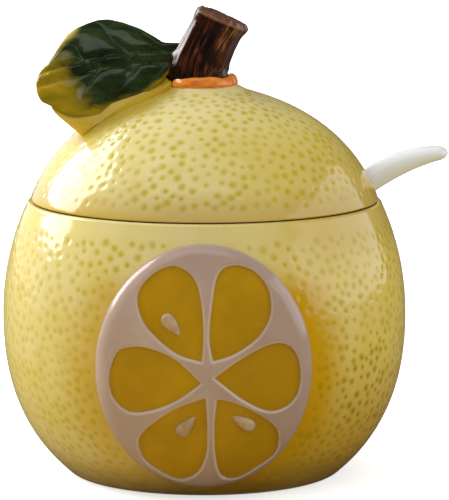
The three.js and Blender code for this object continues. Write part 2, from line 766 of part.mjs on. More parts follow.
const pot = new THREE.Group();
pot.add(piece("pot_body", potBody(), "rind"));
pot.add(piece("slice_pith", slicePith(), "pith"));
SEGMENTS.forEach((corners, i) => pot.add(piece(`pulp_segment_${i + 1}`, pulpSegment(corners), "pulp")));
PIPS.forEach((seat, i) => pot.add(piece(`pip_${i + 1}`, pip(seat), "seed")));

const lid = new THREE.Group();
lid.add(piece("lid_shell", lidShell(), "rind"));
lid.add(piece("stem_collar", stemCollar(), "collar"));
lid.add(piece("stem", stem(0), "bark"));
lid.add(piece("leaf", leaf(), "leaf"));
lid.add(piece("leaf_pad", leafPad(), "pad"));

const condimentPot = new THREE.Group();
condimentPot.add(pot, lid, piece("spoon", spoon(), "china"));

export default condimentPot;
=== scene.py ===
# %% [markdown]
# # A lemon-shaped condiment pot
# The pot is glazed ceramic: a round body, a lid that is the top of the lemon, and a white spoon.
# The engineering model already exists and is loaded here as a fixed frame, in metres.
# This lesson models a finer skin over each of its pieces and paints the glazes with nodes.

# %% Load the frame
import contextlib
import functools
import math
import random

import bpy
import numpy as np
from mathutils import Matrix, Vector, kdtree


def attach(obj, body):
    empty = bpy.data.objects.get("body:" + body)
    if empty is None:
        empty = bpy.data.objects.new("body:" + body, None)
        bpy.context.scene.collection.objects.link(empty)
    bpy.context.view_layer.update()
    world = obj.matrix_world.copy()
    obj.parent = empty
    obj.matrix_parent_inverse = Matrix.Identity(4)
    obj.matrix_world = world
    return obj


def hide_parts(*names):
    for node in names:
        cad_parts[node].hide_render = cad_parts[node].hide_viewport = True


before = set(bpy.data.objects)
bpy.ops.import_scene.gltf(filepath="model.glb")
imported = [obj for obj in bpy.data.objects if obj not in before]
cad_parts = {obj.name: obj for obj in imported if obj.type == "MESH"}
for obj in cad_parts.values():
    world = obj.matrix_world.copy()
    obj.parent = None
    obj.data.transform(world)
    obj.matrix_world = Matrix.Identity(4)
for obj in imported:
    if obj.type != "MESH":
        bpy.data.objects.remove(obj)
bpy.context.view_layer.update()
MM = 0.001

# %% [markdown]
# The camera stands a metre in front of the pot and looks a little down on it. A long lens keeps the
# sides of the pot nearly parallel, as in a product photograph. The numbers come from fitting the
# pot's round outline and its level seam, so the render can be laid over the photograph.

# %% Camera
view = bpy.data.cameras.new("camera")
view.lens = 293.47
view.sensor_width = 36
camera = bpy.data.objects.new("camera", view)
camera.location = (0.00499, -1.0, 0.20606)
camera.rotation_euler = (math.radians(81.43), 0, 0)
bpy.context.scene.collection.objects.link(camera)
bpy.context.scene.camera = camera
bpy.context.scene.view_settings.view_transform = "Standard"
print("camera at", tuple(camera.location))

# %% [markdown]
# All the glazes are written as sums. A small class wraps one value on its way through the nodes:
# adding or multiplying two of them adds a Math node. One method makes every other kind of node.

# %% A value in a glaze
class Wash:
    """One value, place or colour on its way through the nodes of a glaze."""

    def __init__(self, tree, socket=None):
        self.tree = tree
        self.socket = socket

    def node(self, kind, settings=None, sockets=None, out=0):
        made = self.tree.nodes.new(kind)
        for key, value in (settings or {}).items():
            if key == "stops":
                ramp = made.color_ramp
                while len(ramp.elements) < len(value):
                    ramp.elements.new(1.0)
                for stop, (place, colour) in zip(ramp.elements, value):
                    stop.position = place
                    stop.color = colour
            else:
                setattr(made, key, value)
        for key, value in (sockets or {}).items():
            if isinstance(value, Wash):
                self.tree.links.new(value.socket, made.inputs[key])
            else:
                made.inputs[key].default_value = value
        return Wash(self.tree, made.outputs[out])

    def maths(self, operation, other):
        return self.node("ShaderNodeMath", {"operation": operation}, {0: self, 1: other})

    __add__ = __radd__ = functools.partialmethod(maths, "ADD")
    __mul__ = __rmul__ = functools.partialmethod(maths, "MULTIPLY")
    __sub__ = functools.partialmethod(maths, "SUBTRACT")
    __truediv__ = functools.partialmethod(maths, "DIVIDE")
    __pow__ = functools.partialmethod(maths, "POWER")
    least = functools.partialmethod(maths, "MINIMUM")
    most = functools.partialmethod(maths, "MAXIMUM")

    def __rsub__(self, other):
        return self.node("ShaderNodeMath", {"operation": "SUBTRACT"}, {0: other, 1: self})

    def fade(self, start, end):
        """0 up to start, 1 from end on, and soft between them."""
        sockets = {"Value": self, "From Min": start, "From Max": end}
        return self.node("ShaderNodeMapRange", {"interpolation_type": "SMOOTHSTEP"}, sockets)

    def between(self, first, second):
        """The colour that lies between two colours by this share."""
        return self.node("ShaderNodeMix", {"data_type": "RGBA"}, {0: self, 6: first, 7: second}, out=2)

    def noise(self, scale, detail=2.0, rough=0.5):
        """Clouds from 0 to 1 at this place."""
        return self.node("ShaderNodeTexNoise", None,
                         {"Vector": self, "Scale": scale, "Detail": detail, "Roughness": rough})

    def stretched(self, scale, turn=(0.0, 0.0, 0.0)):
        """This place on a grid that is turned and stretched."""
        return self.node("ShaderNodeMapping", None, {"Vector": self, "Scale": scale, "Rotation": turn})

    def bump(self, strength, distance=0.0002):
        """A normal that tilts as if this value were a height."""
        return self.node("ShaderNodeBump", None,
                         {"Height": self, "Strength": strength, "Distance": distance})

    def stored(self, label):
        """The number that each point of the piece remembers under a label."""
        return self.node("ShaderNodeAttribute", {"attribute_name": label}, out=2)


def tone(red, green, blue):
    """A colour as a paint chart gives it, 0 to 255, as linear light."""
    linear = []
    for part in (red / 255, green / 255, blue / 255):
        linear.append(part / 12.92 if part <= 0.04045 else ((part + 0.055) / 1.055) ** 2.4)
    return (*linear, 1.0)


print("cream", tone(222, 202, 118))

# %% [markdown]
# A glaze is glass over clay, so every finish here starts from the same shiny base. What differs is
# the paint below it, which is laid on in coats.

# %% Glaze base
def start_glaze(name):
    """A new glaze and where a point lies: the vector in metres, and x, y and z in millimetres."""
    glaze = bpy.data.materials.new(name)
    glaze.use_nodes = True
    point = Wash(glaze.node_tree).node("ShaderNodeTexCoord", out=3)
    axes = [point.node("ShaderNodeSeparateXYZ", None, {0: point}, out=axis) / MM for axis in range(3)]
    return glaze, point, *axes


def coats(colour, *layers):
    """Lays paints over a colour one by one. Each layer is a share and a tone."""
    for share, *paint in layers:
        colour = share.between(colour, tone(*paint))
    return colour


def close_glaze(glaze, **inputs):
    """Sets or links the sockets of the shader, by their names with _ for a space."""
    shader = glaze.node_tree.nodes["Principled BSDF"]
    for key, value in inputs.items():
        socket = shader.inputs[key.replace("_", " ")]
        if isinstance(value, Wash):
            glaze.node_tree.links.new(value.socket, socket)
        else:
            socket.default_value = value
    return glaze


print("glaze helpers ready")

# %% [markdown]
# The floor is a plain white sweep. To the camera it is simply white apart from the shadow. The glaze
# mirrors a much darker copy of it, as it would of a wooden table in a dim room, and light that bounces
# off it comes back warm.

# %% Floor
FLOOR_GLOW = 0.62
WHITE_IN_MIRROR = 0.04

bpy.ops.object.select_all(action="DESELECT")
bpy.ops.mesh.primitive_plane_add(size=30)
floor = bpy.context.object
floor.name = "floor"

sweep = bpy.data.materials.new("white_sweep")
sweep.use_nodes = True
wash = Wash(sweep.node_tree)
camera_ray, mirrored, through = [wash.node("ShaderNodeLightPath", out=name) for name in
                                 ("Is Camera Ray", "Is Glossy Ray", "Is Transmission Ray")]
seen = camera_ray.most(through).most(WHITE_IN_MIRROR * mirrored)
paper = wash.node("ShaderNodeBsdfDiffuse", None, {"Color": (0.8, 0.8, 0.8, 1)})
glow = wash.node("ShaderNodeEmission", None, {"Color": (1, 1, 1, 1), "Strength": FLOOR_GLOW})
lit = wash.node("ShaderNodeAddShader", None, {0: paper, 1: glow})
warm = mirrored.between((0.6, 0.49, 0.24, 1), (0.05, 0.04, 0.025, 1))
dull = wash.node("ShaderNodeBsdfDiffuse", None, {"Color": warm})
both = wash.node("ShaderNodeMixShader", None, {0: seen, 1: dull, 2: lit})
sweep.node_tree.links.new(both.socket, sweep.node_tree.nodes["Material Output"].inputs["Surface"])
floor.data.materials.append(sweep)
print("floor", floor.dimensions[:])

# %% [markdown]
# The light is a studio's. A large soft box stands to the left and a little behind, which makes the
# broad white shine on the left of the lid, and a dimmer one behind it pales the left edge of the pot.
# A low window-shaped box to the right gives the pale patch on the right shoulder, and a wide panel
# overhead puts a soft sheen on the leaf and the top of the lid. The rest is even light from all round,
# which the glaze mirrors only faintly.

# %% Lamps
LAMP_AIM = Vector((0, 0, 0.06))
SKY = 0.67
SKY_IN_MIRROR = 0.05


def soft_box(name, azimuth, elevation, distance, wide, high, power, colour):
    lamp = bpy.data.lights.new(name, "AREA")
    lamp.shape = "RECTANGLE"
    lamp.size = wide
    lamp.size_y = high
    lamp.energy = power
    lamp.color = colour
    box = bpy.data.objects.new(name, lamp)
    across, up = math.radians(azimuth), math.radians(elevation)
    reach = Vector((math.sin(across) * math.cos(up), -math.cos(across) * math.cos(up), math.sin(up)))
    box.location = LAMP_AIM + distance * reach
    box.rotation_euler = (-reach).to_track_quat("-Z", "Y").to_euler()
    box.visible_camera = False
    bpy.context.scene.collection.objects.link(box)


soft_box("window_left", -118, 30, 1.5, 1.1, 0.95, 25, (1.0, 0.99, 0.98))
soft_box("curtain_left", -140, 12, 1.7, 2.0, 1.4, 9.0, (1.0, 1.0, 0.98))
soft_box("window_right", 95, 16, 1.5, 2.1, 0.9, 9.5, (0.78, 0.87, 0.97))
soft_box("panel_overhead", -8, 70, 1.5, 1.4, 0.9, 3.6, (1.0, 0.98, 0.96))

world = bpy.data.worlds.new("room")
world.use_nodes = True
room = Wash(world.node_tree)
mirrored = room.node("ShaderNodeLightPath", out="Is Glossy Ray")
sky = room.node("ShaderNodeBackground", None,
                {"Color": (1.0, 0.98, 0.94, 1), "Strength": SKY - (SKY - SKY_IN_MIRROR) * mirrored})
world.node_tree.links.new(sky.socket, world.node_tree.nodes["World Output"].inputs["Surface"])
bpy.context.scene.world = world
print("lamps", [light.name for light in bpy.data.lights])

# %% [markdown]
# Two ways of working with clay are enough for all the pieces. The first is the wheel: a ring is
# pulled up step by step, and each step is an extrude followed by a resize about the axis.

# %% Throwing on the wheel
def fresh():
    """Back to object mode with nothing selected."""
    if bpy.context.object and bpy.context.object.mode != "OBJECT":
        bpy.ops.object.mode_set(mode="OBJECT")
    bpy.ops.object.select_all(action="DESELECT")


@contextlib.contextmanager
def editing(piece):
    """Edit mode with all of a piece selected, and object mode again at the end."""
    bpy.context.view_layer.objects.active = piece
    bpy.ops.object.mode_set(mode="EDIT")
    bpy.ops.mesh.select_all(action="SELECT")
    yield
    bpy.ops.object.mode_set(mode="OBJECT")


def throw_on_wheel(name, stations, sides):
    """Pulls a circle up through rings of (radius, height) in millimetres, closes and smooths it."""
    fresh()
    radius, height = stations[0]
    bpy.ops.mesh.primitive_circle_add(vertices=sides, radius=radius * MM, fill_type="TRIFAN")
    piece = bpy.context.object
    piece.name = piece.data.name = name
    with editing(piece):
        bpy.ops.transform.translate(value=(0, 0, height * MM))
        bpy.ops.mesh.region_to_loop()
        for wider, higher in stations[1:]:
            bpy.ops.mesh.extrude_region_move(
                TRANSFORM_OT_translate={"value": (0, 0, (higher - height) * MM)})
            share = wider / radius
            bpy.ops.transform.resize(value=(share, share, 1), center_override=(0, 0, higher * MM))
            radius, height = wider, higher
        bpy.ops.mesh.extrude_region_move()
        bpy.ops.mesh.merge(type="CENTER")
        bpy.ops.mesh.select_all(action="SELECT")
        bpy.ops.mesh.normals_make_consistent(inside=False)
    apply_modifier(piece, "SUBSURF", levels=2, render_levels=2)
    return piece


def apply_modifier(piece, kind, **settings):
    """Gives a piece a modifier and makes its work permanent."""
    added = piece.modifiers.new(kind.lower(), kind)
    for key, value in settings.items():
        setattr(added, key, value)
    fresh()
    bpy.context.view_layer.objects.active = piece
    bpy.ops.object.modifier_apply(modifier=added.name)


def points_of(piece):
    """All the vertices of a piece in millimetres, one row each."""
    flat = np.empty(len(piece.data.vertices) * 3)
    piece.data.vertices.foreach_get("co", flat)
    return flat.reshape(-1, 3) / MM


def set_points(piece, points):
    piece.data.vertices.foreach_set("co", (np.asarray(points) * MM).ravel())
    piece.data.update()


def off_axis(points):
    """Distance of points from the pot's axis."""
    return np.hypot(points[:, 0], points[:, 1])


def triangles(piece):
    piece.data.calc_loop_triangles()
    return len(piece.data.loop_triangles)


def tell(label, piece):
    """Prints the two corners of a piece's box and how many triangles it has."""
    points = points_of(piece)
    print(label, points.min(0).round(1), points.max(0).round(1), triangles(piece))


print("wheel ready")

# %% [markdown]
# The lemon's flank is two curves that meet at the belly: a full, squarish one below and an ellipse
# above. The same formula gives the outside, the lining and everything that lies on the front.

# %% The lemon's flank
BELLY = 50.0
BELLY_HEIGHT = 40.0
DROP = 49.3
RISE = 57.4
FULLNESS = 2.28
RIM = 68.0
LINING = 46.0, 44.3


def flank(height, belly=BELLY, drop=DROP):
    height = np.asarray(height, float)
    above = np.clip((height - BELLY_HEIGHT) / RISE, 0, 1)
    below = np.clip((BELLY_HEIGHT - height) / drop, 0, 1)
    upper = belly * np.sqrt(1 - above ** 2)
    lower = belly * (1 - below ** FULLNESS) ** (1 / FULLNESS)
    return np.where(height >= BELLY_HEIGHT, upper, lower)


def even_steps(curve, spacing):
    """Stations along a fine curve, about equally far apart."""
    curve = np.asarray(curve, float)
    run = np.concatenate([[0], np.cumsum(np.linalg.norm(np.diff(curve, axis=0), axis=1))])
    marks = np.linspace(0, run[-1], max(2, round(run[-1] / spacing) + 1))
    return [(np.interp(mark, run, curve[:, 0]), np.interp(mark, run, curve[:, 1])) for mark in marks]


def bend(start, pull, end, count):
    """A quadratic curve between two points, drawn towards a third."""
    share = np.linspace(0, 1, count)[:, None]
    start, pull, end = (np.asarray(point, float) for point in (start, pull, end))
    return (1 - share) ** 2 * start + 2 * share * (1 - share) * pull + share ** 2 * end


def through_points(a, b, c, d, share):
    """A smooth curve from b to c, on its way from a and to d."""
    return 0.5 * (2 * b + (c - a) * share + (2 * a - 5 * b + 4 * c - d) * share ** 2
                  + (3 * b - a - 3 * c + d) * share ** 3)


def round_off(share):
    """Falls from 1 to 0 along a quarter circle while the share grows from 0 to 1."""
    return np.sqrt(np.clip(1 - np.clip(share, 0, 1) ** 2, 0, 1))


def corner(radius, height, size, first, last, count=4):
    angles = np.radians(np.linspace(first, last, count))
    return [(radius + size * math.cos(a), height + size * math.sin(a)) for a in angles]


rim_radius = float(flank(RIM))
mouth_radius = float(flank(RIM, *LINING))
print("rim radius", rim_radius, "mouth radius", mouth_radius)

# %% [markdown]
# The pot is thrown from its foot up the outside, over the round rim and down the lining to the
# floor. The cage is close enough that two levels of subdivision give a skin fine enough for pores.

# %% Pot body
FOOT_TOP = 1.8
FLOOR_TOP = 5.0
RIM_OUTER = 0.9
RIM_INNER = 1.2
foot_radius = float(flank(FOOT_TOP)) - 3.2
heights = np.linspace(FOOT_TOP, RIM - RIM_OUTER, 400)
outside = even_steps(np.column_stack([flank(heights), heights]), 2.5)
inside_heights = np.linspace(RIM - RIM_INNER, 8.0, 300)
lining = even_steps(np.column_stack([flank(inside_heights, *LINING), inside_heights]), 9.0)
floor_radius = lining[-1][0] - 3.0
pot_stations = [
    (20.0, 0.7), (21.2, 0.7), (22.0, 0.2), (22.8, 0.0), (foot_radius - 1.0, 0.0),
    *bend((foot_radius, 0), (foot_radius + 1.6, 0), outside[0], 4)[:-1],
    *outside[:-1],
    *corner(outside[-1][0] - RIM_OUTER, RIM - RIM_OUTER, RIM_OUTER, 0, 90),
    *corner(lining[0][0] + RIM_INNER, RIM - RIM_INNER, RIM_INNER, 90, 180),
    *lining[1:],
    *bend(lining[-1], (floor_radius + 1.5, FLOOR_TOP), (floor_radius, FLOOR_TOP), 3)[1:],
    (floor_radius * 0.5, FLOOR_TOP), (3.0, FLOOR_TOP),
]
pot_body = throw_on_wheel("lemon_pot", pot_stations, 112)
print("pot", len(pot_stations), "rings,", triangles(pot_body), "triangles")

# %% [markdown]
# The second way is the slab: a flat sheet is rolled out as a grid, and each of its points is then
# laid where the piece wants it, as a potter wraps a slab round a form. Every point remembers where it
# was along and across the sheet, so that paint can follow the sheet later.

# %% Rolling a slab
def remember(piece, label, values):
    """Stores one number for each point of a piece, for the paint to read."""
    stored = piece.data.attributes.new(label, "FLOAT", "POINT")
    stored.data.foreach_set("value", np.asarray(values, np.float32))


def roll_slab(name, columns, rows):
    fresh()
    bpy.ops.mesh.primitive_grid_add(x_subdivisions=columns, y_subdivisions=rows, size=2, calc_uvs=False)
    piece = bpy.context.object
    piece.name = piece.data.name = name
    sheet = points_of(piece) * MM
    for label, axis in (("along", 0), ("across", 1)):
        remember(piece, label, (sheet[:, axis] + 1) / 2)
    return piece


def sheet_places(piece):
    """How far along and across the sheet each point was, from 0 to 1."""
    found = []
    for label in ("along", "across"):
        values = np.empty(len(piece.data.vertices), np.float32)
        piece.data.attributes[label].data.foreach_get("value", values)
        found.append(values.astype(float))
    return found


def thicken(piece):
    """Extrudes the whole sheet into a front and a back, and says which points are the front."""
    with editing(piece):
        bpy.ops.mesh.extrude_region_move()
    chosen = np.empty(len(piece.data.vertices), bool)
    piece.data.vertices.foreach_get("select", chosen)
    return chosen


def weld(piece, distance=0.00001, holes=False):
    """Joins points that meet, closes open ends where asked, and turns every face outwards."""
    with editing(piece):
        bpy.ops.mesh.remove_doubles(threshold=distance)
        if holes:
            bpy.ops.mesh.fill_holes(sides=0)
        bpy.ops.mesh.select_all(action="SELECT")
        bpy.ops.mesh.normals_make_consistent(inside=False)


def to_disc(along, across):
    """Draws a square sheet out into a round one, with its grid still even."""
    s, t = 2 * along - 1, 2 * across - 1
    return s * np.sqrt(1 - t ** 2 / 2), t * np.sqrt(1 - s ** 2 / 2)


print("slab ready")

# %% [markdown]
# The spoon is one slab rolled into a tube along a bent middle line: from the tip of the bowl, up the
# handle and out over the rim. Each section is an oval whose upper half sinks in where the bowl is.

# %% Spoon
SPOON_TURN = math.radians(15)
BOWL_SLOPE = math.radians(25)
BOWL_LONG = 15
BOWL_WIDE = 10.5
BOWL_DEEP = 7
HANDLE_SLOPE = math.radians(31)
HANDLE_LIFT = 3.9
HANDLE_CAP = 3.4
LINE_STEPS = 60
bowl_drop = BOWL_LONG * math.sin(BOWL_SLOPE)
bowl_height = 5.3 + math.hypot(bowl_drop, BOWL_DEEP * math.cos(BOWL_SLOPE))
bowl_tip = float(flank(bowl_height - bowl_drop, *LINING)) - 3.5
bowl_middle = np.array([BOWL_LONG * math.cos(BOWL_SLOPE) - bowl_tip, bowl_height])
bowl_run = np.array([math.cos(BOWL_SLOPE), math.sin(BOWL_SLOPE)])
neck = bowl_middle + 12.6 * bowl_run
rest = np.array([rim_radius, RIM + HANDLE_LIFT])
handle_end = np.array([rim_radius + 19.4, RIM + 9.8])
rest_run = np.array([math.cos(HANDLE_SLOPE), math.sin(HANDLE_SLOPE)])
tip_slope = math.tan(math.radians(2))
gap = handle_end - rest
over = (gap[1] - gap[0] * tip_slope) / (rest_run[1] - rest_run[0] * tip_slope)
inner_line = bend(neck, rest - 20 * rest_run, rest, LINE_STEPS)
outer_line = bend(rest, rest + over * rest_run, handle_end, LINE_STEPS)

# Each station: place, half width, depth below, rise above and dish
stations = []
for step in np.linspace(0, math.pi * 0.8, 40):
    s = -BOWL_LONG * math.cos(step)
    full = math.sqrt(max(0.0, 1 - (s / BOWL_LONG) ** 2))
    join = float(np.clip((s - 4) / 8.2, 0, 1))
    join = join * join * (3 - 2 * join)
    depth = BOWL_DEEP * full
    stations.append((bowl_middle + s * bowl_run,
                     (1 - join) * BOWL_WIDE * full + join * 3.1,
                     (1 - join) * depth + join * 2.3,
                     (1 - join) * min(0.8, depth) + join * 2.3,
                     (1 - join) * max(depth - 1.2, 0.0)))
for i in range(2, LINE_STEPS):
    t = i / (LINE_STEPS - 1)
    width, thick = 6.0 + 1.5 * t, 4.6 + 1.4 * t
    stations.append((inner_line[i], width / 2, thick / 2, thick / 2, 0.0))
outer_run = np.concatenate([[0], np.cumsum(np.linalg.norm(np.diff(outer_line, axis=0), axis=1))])
cap_start = outer_run[-1] - HANDLE_CAP
for mark in np.concatenate([np.linspace(0.3, cap_start, 28),
                            cap_start + HANDLE_CAP * np.sin(np.linspace(0.12, math.pi / 2, 14))]):
    t = min(mark / cap_start, 1.0)
    cap = math.sqrt(max(0.0, 1 - max(0.0, (mark - outer_run[-1] + HANDLE_CAP) / HANDLE_CAP) ** 2))
    thick = (6.0 - 2.2 * t * t) * cap
    middle = np.array([np.interp(mark, outer_run, outer_line[:, axis]) for axis in (0, 1)])
    stations.append((middle, 3.75 * cap, thick / 2, thick / 2, 0.0))


def spoon_skin(along, across, grow=0.0):
    """Points of the spoon's skin: along its stations, and once round each section."""
    mark = along * (len(stations) - 1)
    low = np.clip(np.floor(mark).astype(int), 0, len(stations) - 2)
    share = mark - low
    table = np.array([[*middle, *sizes] for middle, *sizes in stations])
    now = table[low] * (1 - share)[:, None] + table[low + 1] * share[:, None]
    run = np.gradient(table[:, :2], axis=0)
    run /= np.linalg.norm(run, axis=1)[:, None]
    way = run[low] * (1 - share)[:, None] + run[low + 1] * share[:, None]
    way /= np.linalg.norm(way, axis=1)[:, None]
    turn = 2 * np.pi * across
    sine = np.sin(turn)
    up = np.where(sine > 0, (now[:, 4] + grow) * sine - now[:, 5] * sine ** 2, (now[:, 3] + grow) * sine)
    side = (now[:, 2] + grow) * np.cos(turn)
    reach = now[:, 0] - way[:, 1] * up
    level = now[:, 1] + way[:, 0] * up
    return np.column_stack([reach * math.cos(SPOON_TURN) - side * math.sin(SPOON_TURN),
                            reach * math.sin(SPOON_TURN) + side * math.cos(SPOON_TURN), level])


spoon = roll_slab("white_spoon", 220, 56)
set_points(spoon, spoon_skin(*sheet_places(spoon)))
weld(spoon)
tell("spoon", spoon)

# %% [markdown]
# The handle rests in a shallow groove in the rim. On the real pot it is pressed into the wet clay.
# Here a slightly fatter copy of the spoon is cut out of the pot with a Boolean.

# %% Groove for the handle
def cut_away(piece, cutter):
    apply_modifier(piece, "BOOLEAN", operation="DIFFERENCE", solver="EXACT", object=cutter)
    bpy.data.objects.remove(cutter)


fat_spoon = roll_slab("groove_form", 60, 40)
along, across = sheet_places(fat_spoon)
set_points(fat_spoon, spoon_skin(0.55 + 0.45 * along, across, 0.4))
weld(fat_spoon, holes=True)
cut_away(pot_body, fat_spoon)
print("pot after the groove", triangles(pot_body))

# %% [markdown]
# The lid is thrown too: a seat for the stem, the dome, the edge, a flange that drops into the mouth,
# and the hollow inside. The dome is one cubic curve, with a slight upward flare under the collar.

# %% Lid
EDGE = rim_radius - 0.6
SEAT = 95.9
LID_WALL = 4.0
edge_point = np.array([EDGE, RIM + 0.8])
lean, crown = math.radians(68.4), math.radians(12.9)
edge_pull = edge_point + 17.8 * np.array([-math.cos(lean), math.sin(lean)])
seat_point = np.array([8.3, SEAT])
seat_pull = seat_point + 14.5 * np.array([math.cos(crown), -math.sin(crown)])
share = np.linspace(0, 1, 300)[:, None]
dome = ((1 - share) ** 3 * seat_point + 3 * share * (1 - share) ** 2 * seat_pull
        + 3 * share ** 2 * (1 - share) * edge_pull + share ** 3 * edge_point)
inward = np.gradient(dome, axis=0)
inward /= np.linalg.norm(inward, axis=1)[:, None]
hollow = dome + LID_WALL * np.column_stack([inward[:, 1], -inward[:, 0]])
flange = mouth_radius - 0.8
hollow = hollow[hollow[:, 0] < flange - 3.0][::-1]


def dome_height(radius):
    return np.interp(radius, dome[:, 0], dome[:, 1])


skin = even_steps(dome[dome[:, 0] > 11.0], 2.4)
lid_stations = [
    (4.0, 96.8), (7.6, 96.8), (8.6, 96.5), (9.6, 95.95),
    *skin[:-1],
    *corner(EDGE - 0.45, RIM + 0.67, 0.45, 0, -90),
    (flange + 0.5, RIM + 0.22), (flange, RIM), (flange, RIM - 2.5), (flange, RIM - 5.2),
    (flange - 0.5, RIM - 5.7), (flange - 2.5, RIM - 5.7), (flange - 3.0, RIM - 5.2),
    (flange - 3.0, RIM), (flange - 3.1, hollow[0][1] - 1.0),
    *even_steps(hollow, 8.0)[1:], (3.0, hollow[-1][1]),
]
lid_shell = throw_on_wheel("lemon_lid", lid_stations, 96)
tell("lid", lid_shell)

# %% [markdown]
# The notch that lets the handle out is an arch: a cylinder on its side whose lower half is drawn
# down. It is cut from the lid with a Boolean.

# %% Notch
NOTCH = 4.75
NOTCH_OUT = 40.5
arch = RIM + HANDLE_LIFT + 3.0 / math.cos(HANDLE_SLOPE) + 1.0 - NOTCH
fresh()
bpy.ops.mesh.primitive_cylinder_add(
    vertices=64, radius=NOTCH * MM, depth=0.018,
    location=(NOTCH_OUT * math.cos(SPOON_TURN) * MM, NOTCH_OUT * math.sin(SPOON_TURN) * MM, arch * MM),
    rotation=(0, math.pi / 2, SPOON_TURN))
notch_form = bpy.context.object
bpy.ops.object.transform_apply()
notch_points = points_of(notch_form)
notch_points[:, 2] -= np.where(notch_points[:, 2] < arch - 0.01, 14.0, 0.0)
set_points(notch_form, notch_points)
cut_away(lid_shell, notch_form)
print("lid after the notch", triangles(lid_shell))

# %% [markdown]
# A lemon's rind is full of pores. Places for them are picked among the points of the skin in a shuffled
# but fixed order, each at least a few millimetres from all earlier ones. Every point of the skin then
# learns how far it is from its nearest pore: a Displace modifier presses the dimples in by that, and
# the paint reads it too.

# %% Pores
PORE_SPACING = 2.4
PORE_REACH = 1.2
PORE_DEPTH = 0.16
SLICE_HEIGHT = 33.3
SLICE_WIDE = 25.9
SLICE_HIGH = 30.3


def strew_pores(piece, allowed, spacing, seed):
    """Presses dimples into the allowed part of the skin and stores each point's distance from a pore."""
    points = points_of(piece)
    dice = random.Random(seed)
    # A Boolean may number its points differently each time, so they are put in order of place first
    by_place = np.lexsort(points.round(3).T)
    order = by_place[allowed(points)[by_place]].tolist()
    dice.shuffle(order)
    taken, pores = {}, []
    for index in order:
        cell = tuple((points[index] // spacing).astype(int))
        near = [q for dx in (-1, 0, 1) for dy in (-1, 0, 1) for dz in (-1, 0, 1)
                for q in taken.get((cell[0] + dx, cell[1] + dy, cell[2] + dz), ())]
        reach = spacing * dice.uniform(0.82, 1.25)
        if all(np.sum((points[index] - q) ** 2) > reach * reach for q in near):
            taken.setdefault(cell, []).append(points[index])
            pores.append((points[index], dice.uniform(0.72, 1.25)))
    tree = kdtree.KDTree(len(pores))
    for number, pore in enumerate(pores):
        tree.insert(pore[0], number)
    tree.balance()
    away = np.empty(len(points), np.float32)
    for i, point in enumerate(points):
        found = tree.find(point)
        away[i] = found[2] / pores[found[1]][1]
    remember(piece, "pore", away)
    dimple = 0.5 + 0.5 * np.cos(np.pi * np.clip(away / PORE_REACH, 0, 1))
    group = piece.vertex_groups.new(name="pores")
    for i in np.flatnonzero(dimple > 0.001):
        group.add([int(i)], float(dimple[i]), "REPLACE")
    apply_modifier(piece, "DISPLACE", strength=-PORE_DEPTH * MM, mid_level=0.0, vertex_group="pores")
    return len(pores)


def pot_rind(points):
    outer = off_axis(points) > flank(points[:, 2]) - 0.3
    level = (points[:, 2] > 4.5) & (points[:, 2] < RIM - 4.5)
    oval = np.hypot(points[:, 0] / (SLICE_WIDE + 1.4), (points[:, 2] - SLICE_HEIGHT) / (SLICE_HIGH + 1.4))
    return outer & level & ((oval > 1) | (points[:, 1] > 0))


def lid_rind(points):
    radius = off_axis(points)
    outer = points[:, 2] > dome_height(radius) - 0.3
    return outer & (points[:, 2] > RIM + 3.0) & (radius > 10.5) & (radius < EDGE)


print("pores on the pot", strew_pores(pot_body, pot_rind, PORE_SPACING, 7))
print("pores on the lid", strew_pores(lid_shell, lid_rind, PORE_SPACING, 11))

# %% [markdown]
# The slice on the front is a raised oval of pith with six pockets. Its places are given as seen from
# the front, so a helper finds the point of the lemon's skin behind such a place, lifted off the skin
# by any height. A few small corrections keep the place exact however steep the skin is.

# %% Laying clay on the front
def on_front(x, z, lift):
    """Points over the front of the body that are seen at (x, z) and stand off the skin by lift."""
    x, z, lift = np.broadcast_arrays(np.asarray(x, float), np.asarray(z, float), np.asarray(lift, float))
    guess_x, guess_z = x.copy(), z.copy()
    for _ in range(4):
        radius = flank(guess_z)
        slope = (flank(guess_z + 0.05) - flank(guess_z - 0.05)) / 0.1
        depth = -np.sqrt(np.maximum(radius ** 2 - guess_x ** 2, 1.0))
        normal = np.stack([guess_x / radius, depth / radius, -slope])
        normal /= np.linalg.norm(normal, axis=0)
        point = np.stack([guess_x, depth, guess_z]) + lift * normal
        guess_x = guess_x + x - point[0]
        guess_z = guess_z + z - point[2]
    return point.T


print("middle of the slice", on_front(0.0, SLICE_HEIGHT, 2.2).round(2))

# %% [markdown]
# A segment is pointed at the hub and round at the rind. No two on the real slice are alike, so each
# is given by ten corners in millimetres, from its point and counter-clockwise, with a smooth curve
# through them. The pith's height follows from the distance to the six outlines and to the edge.

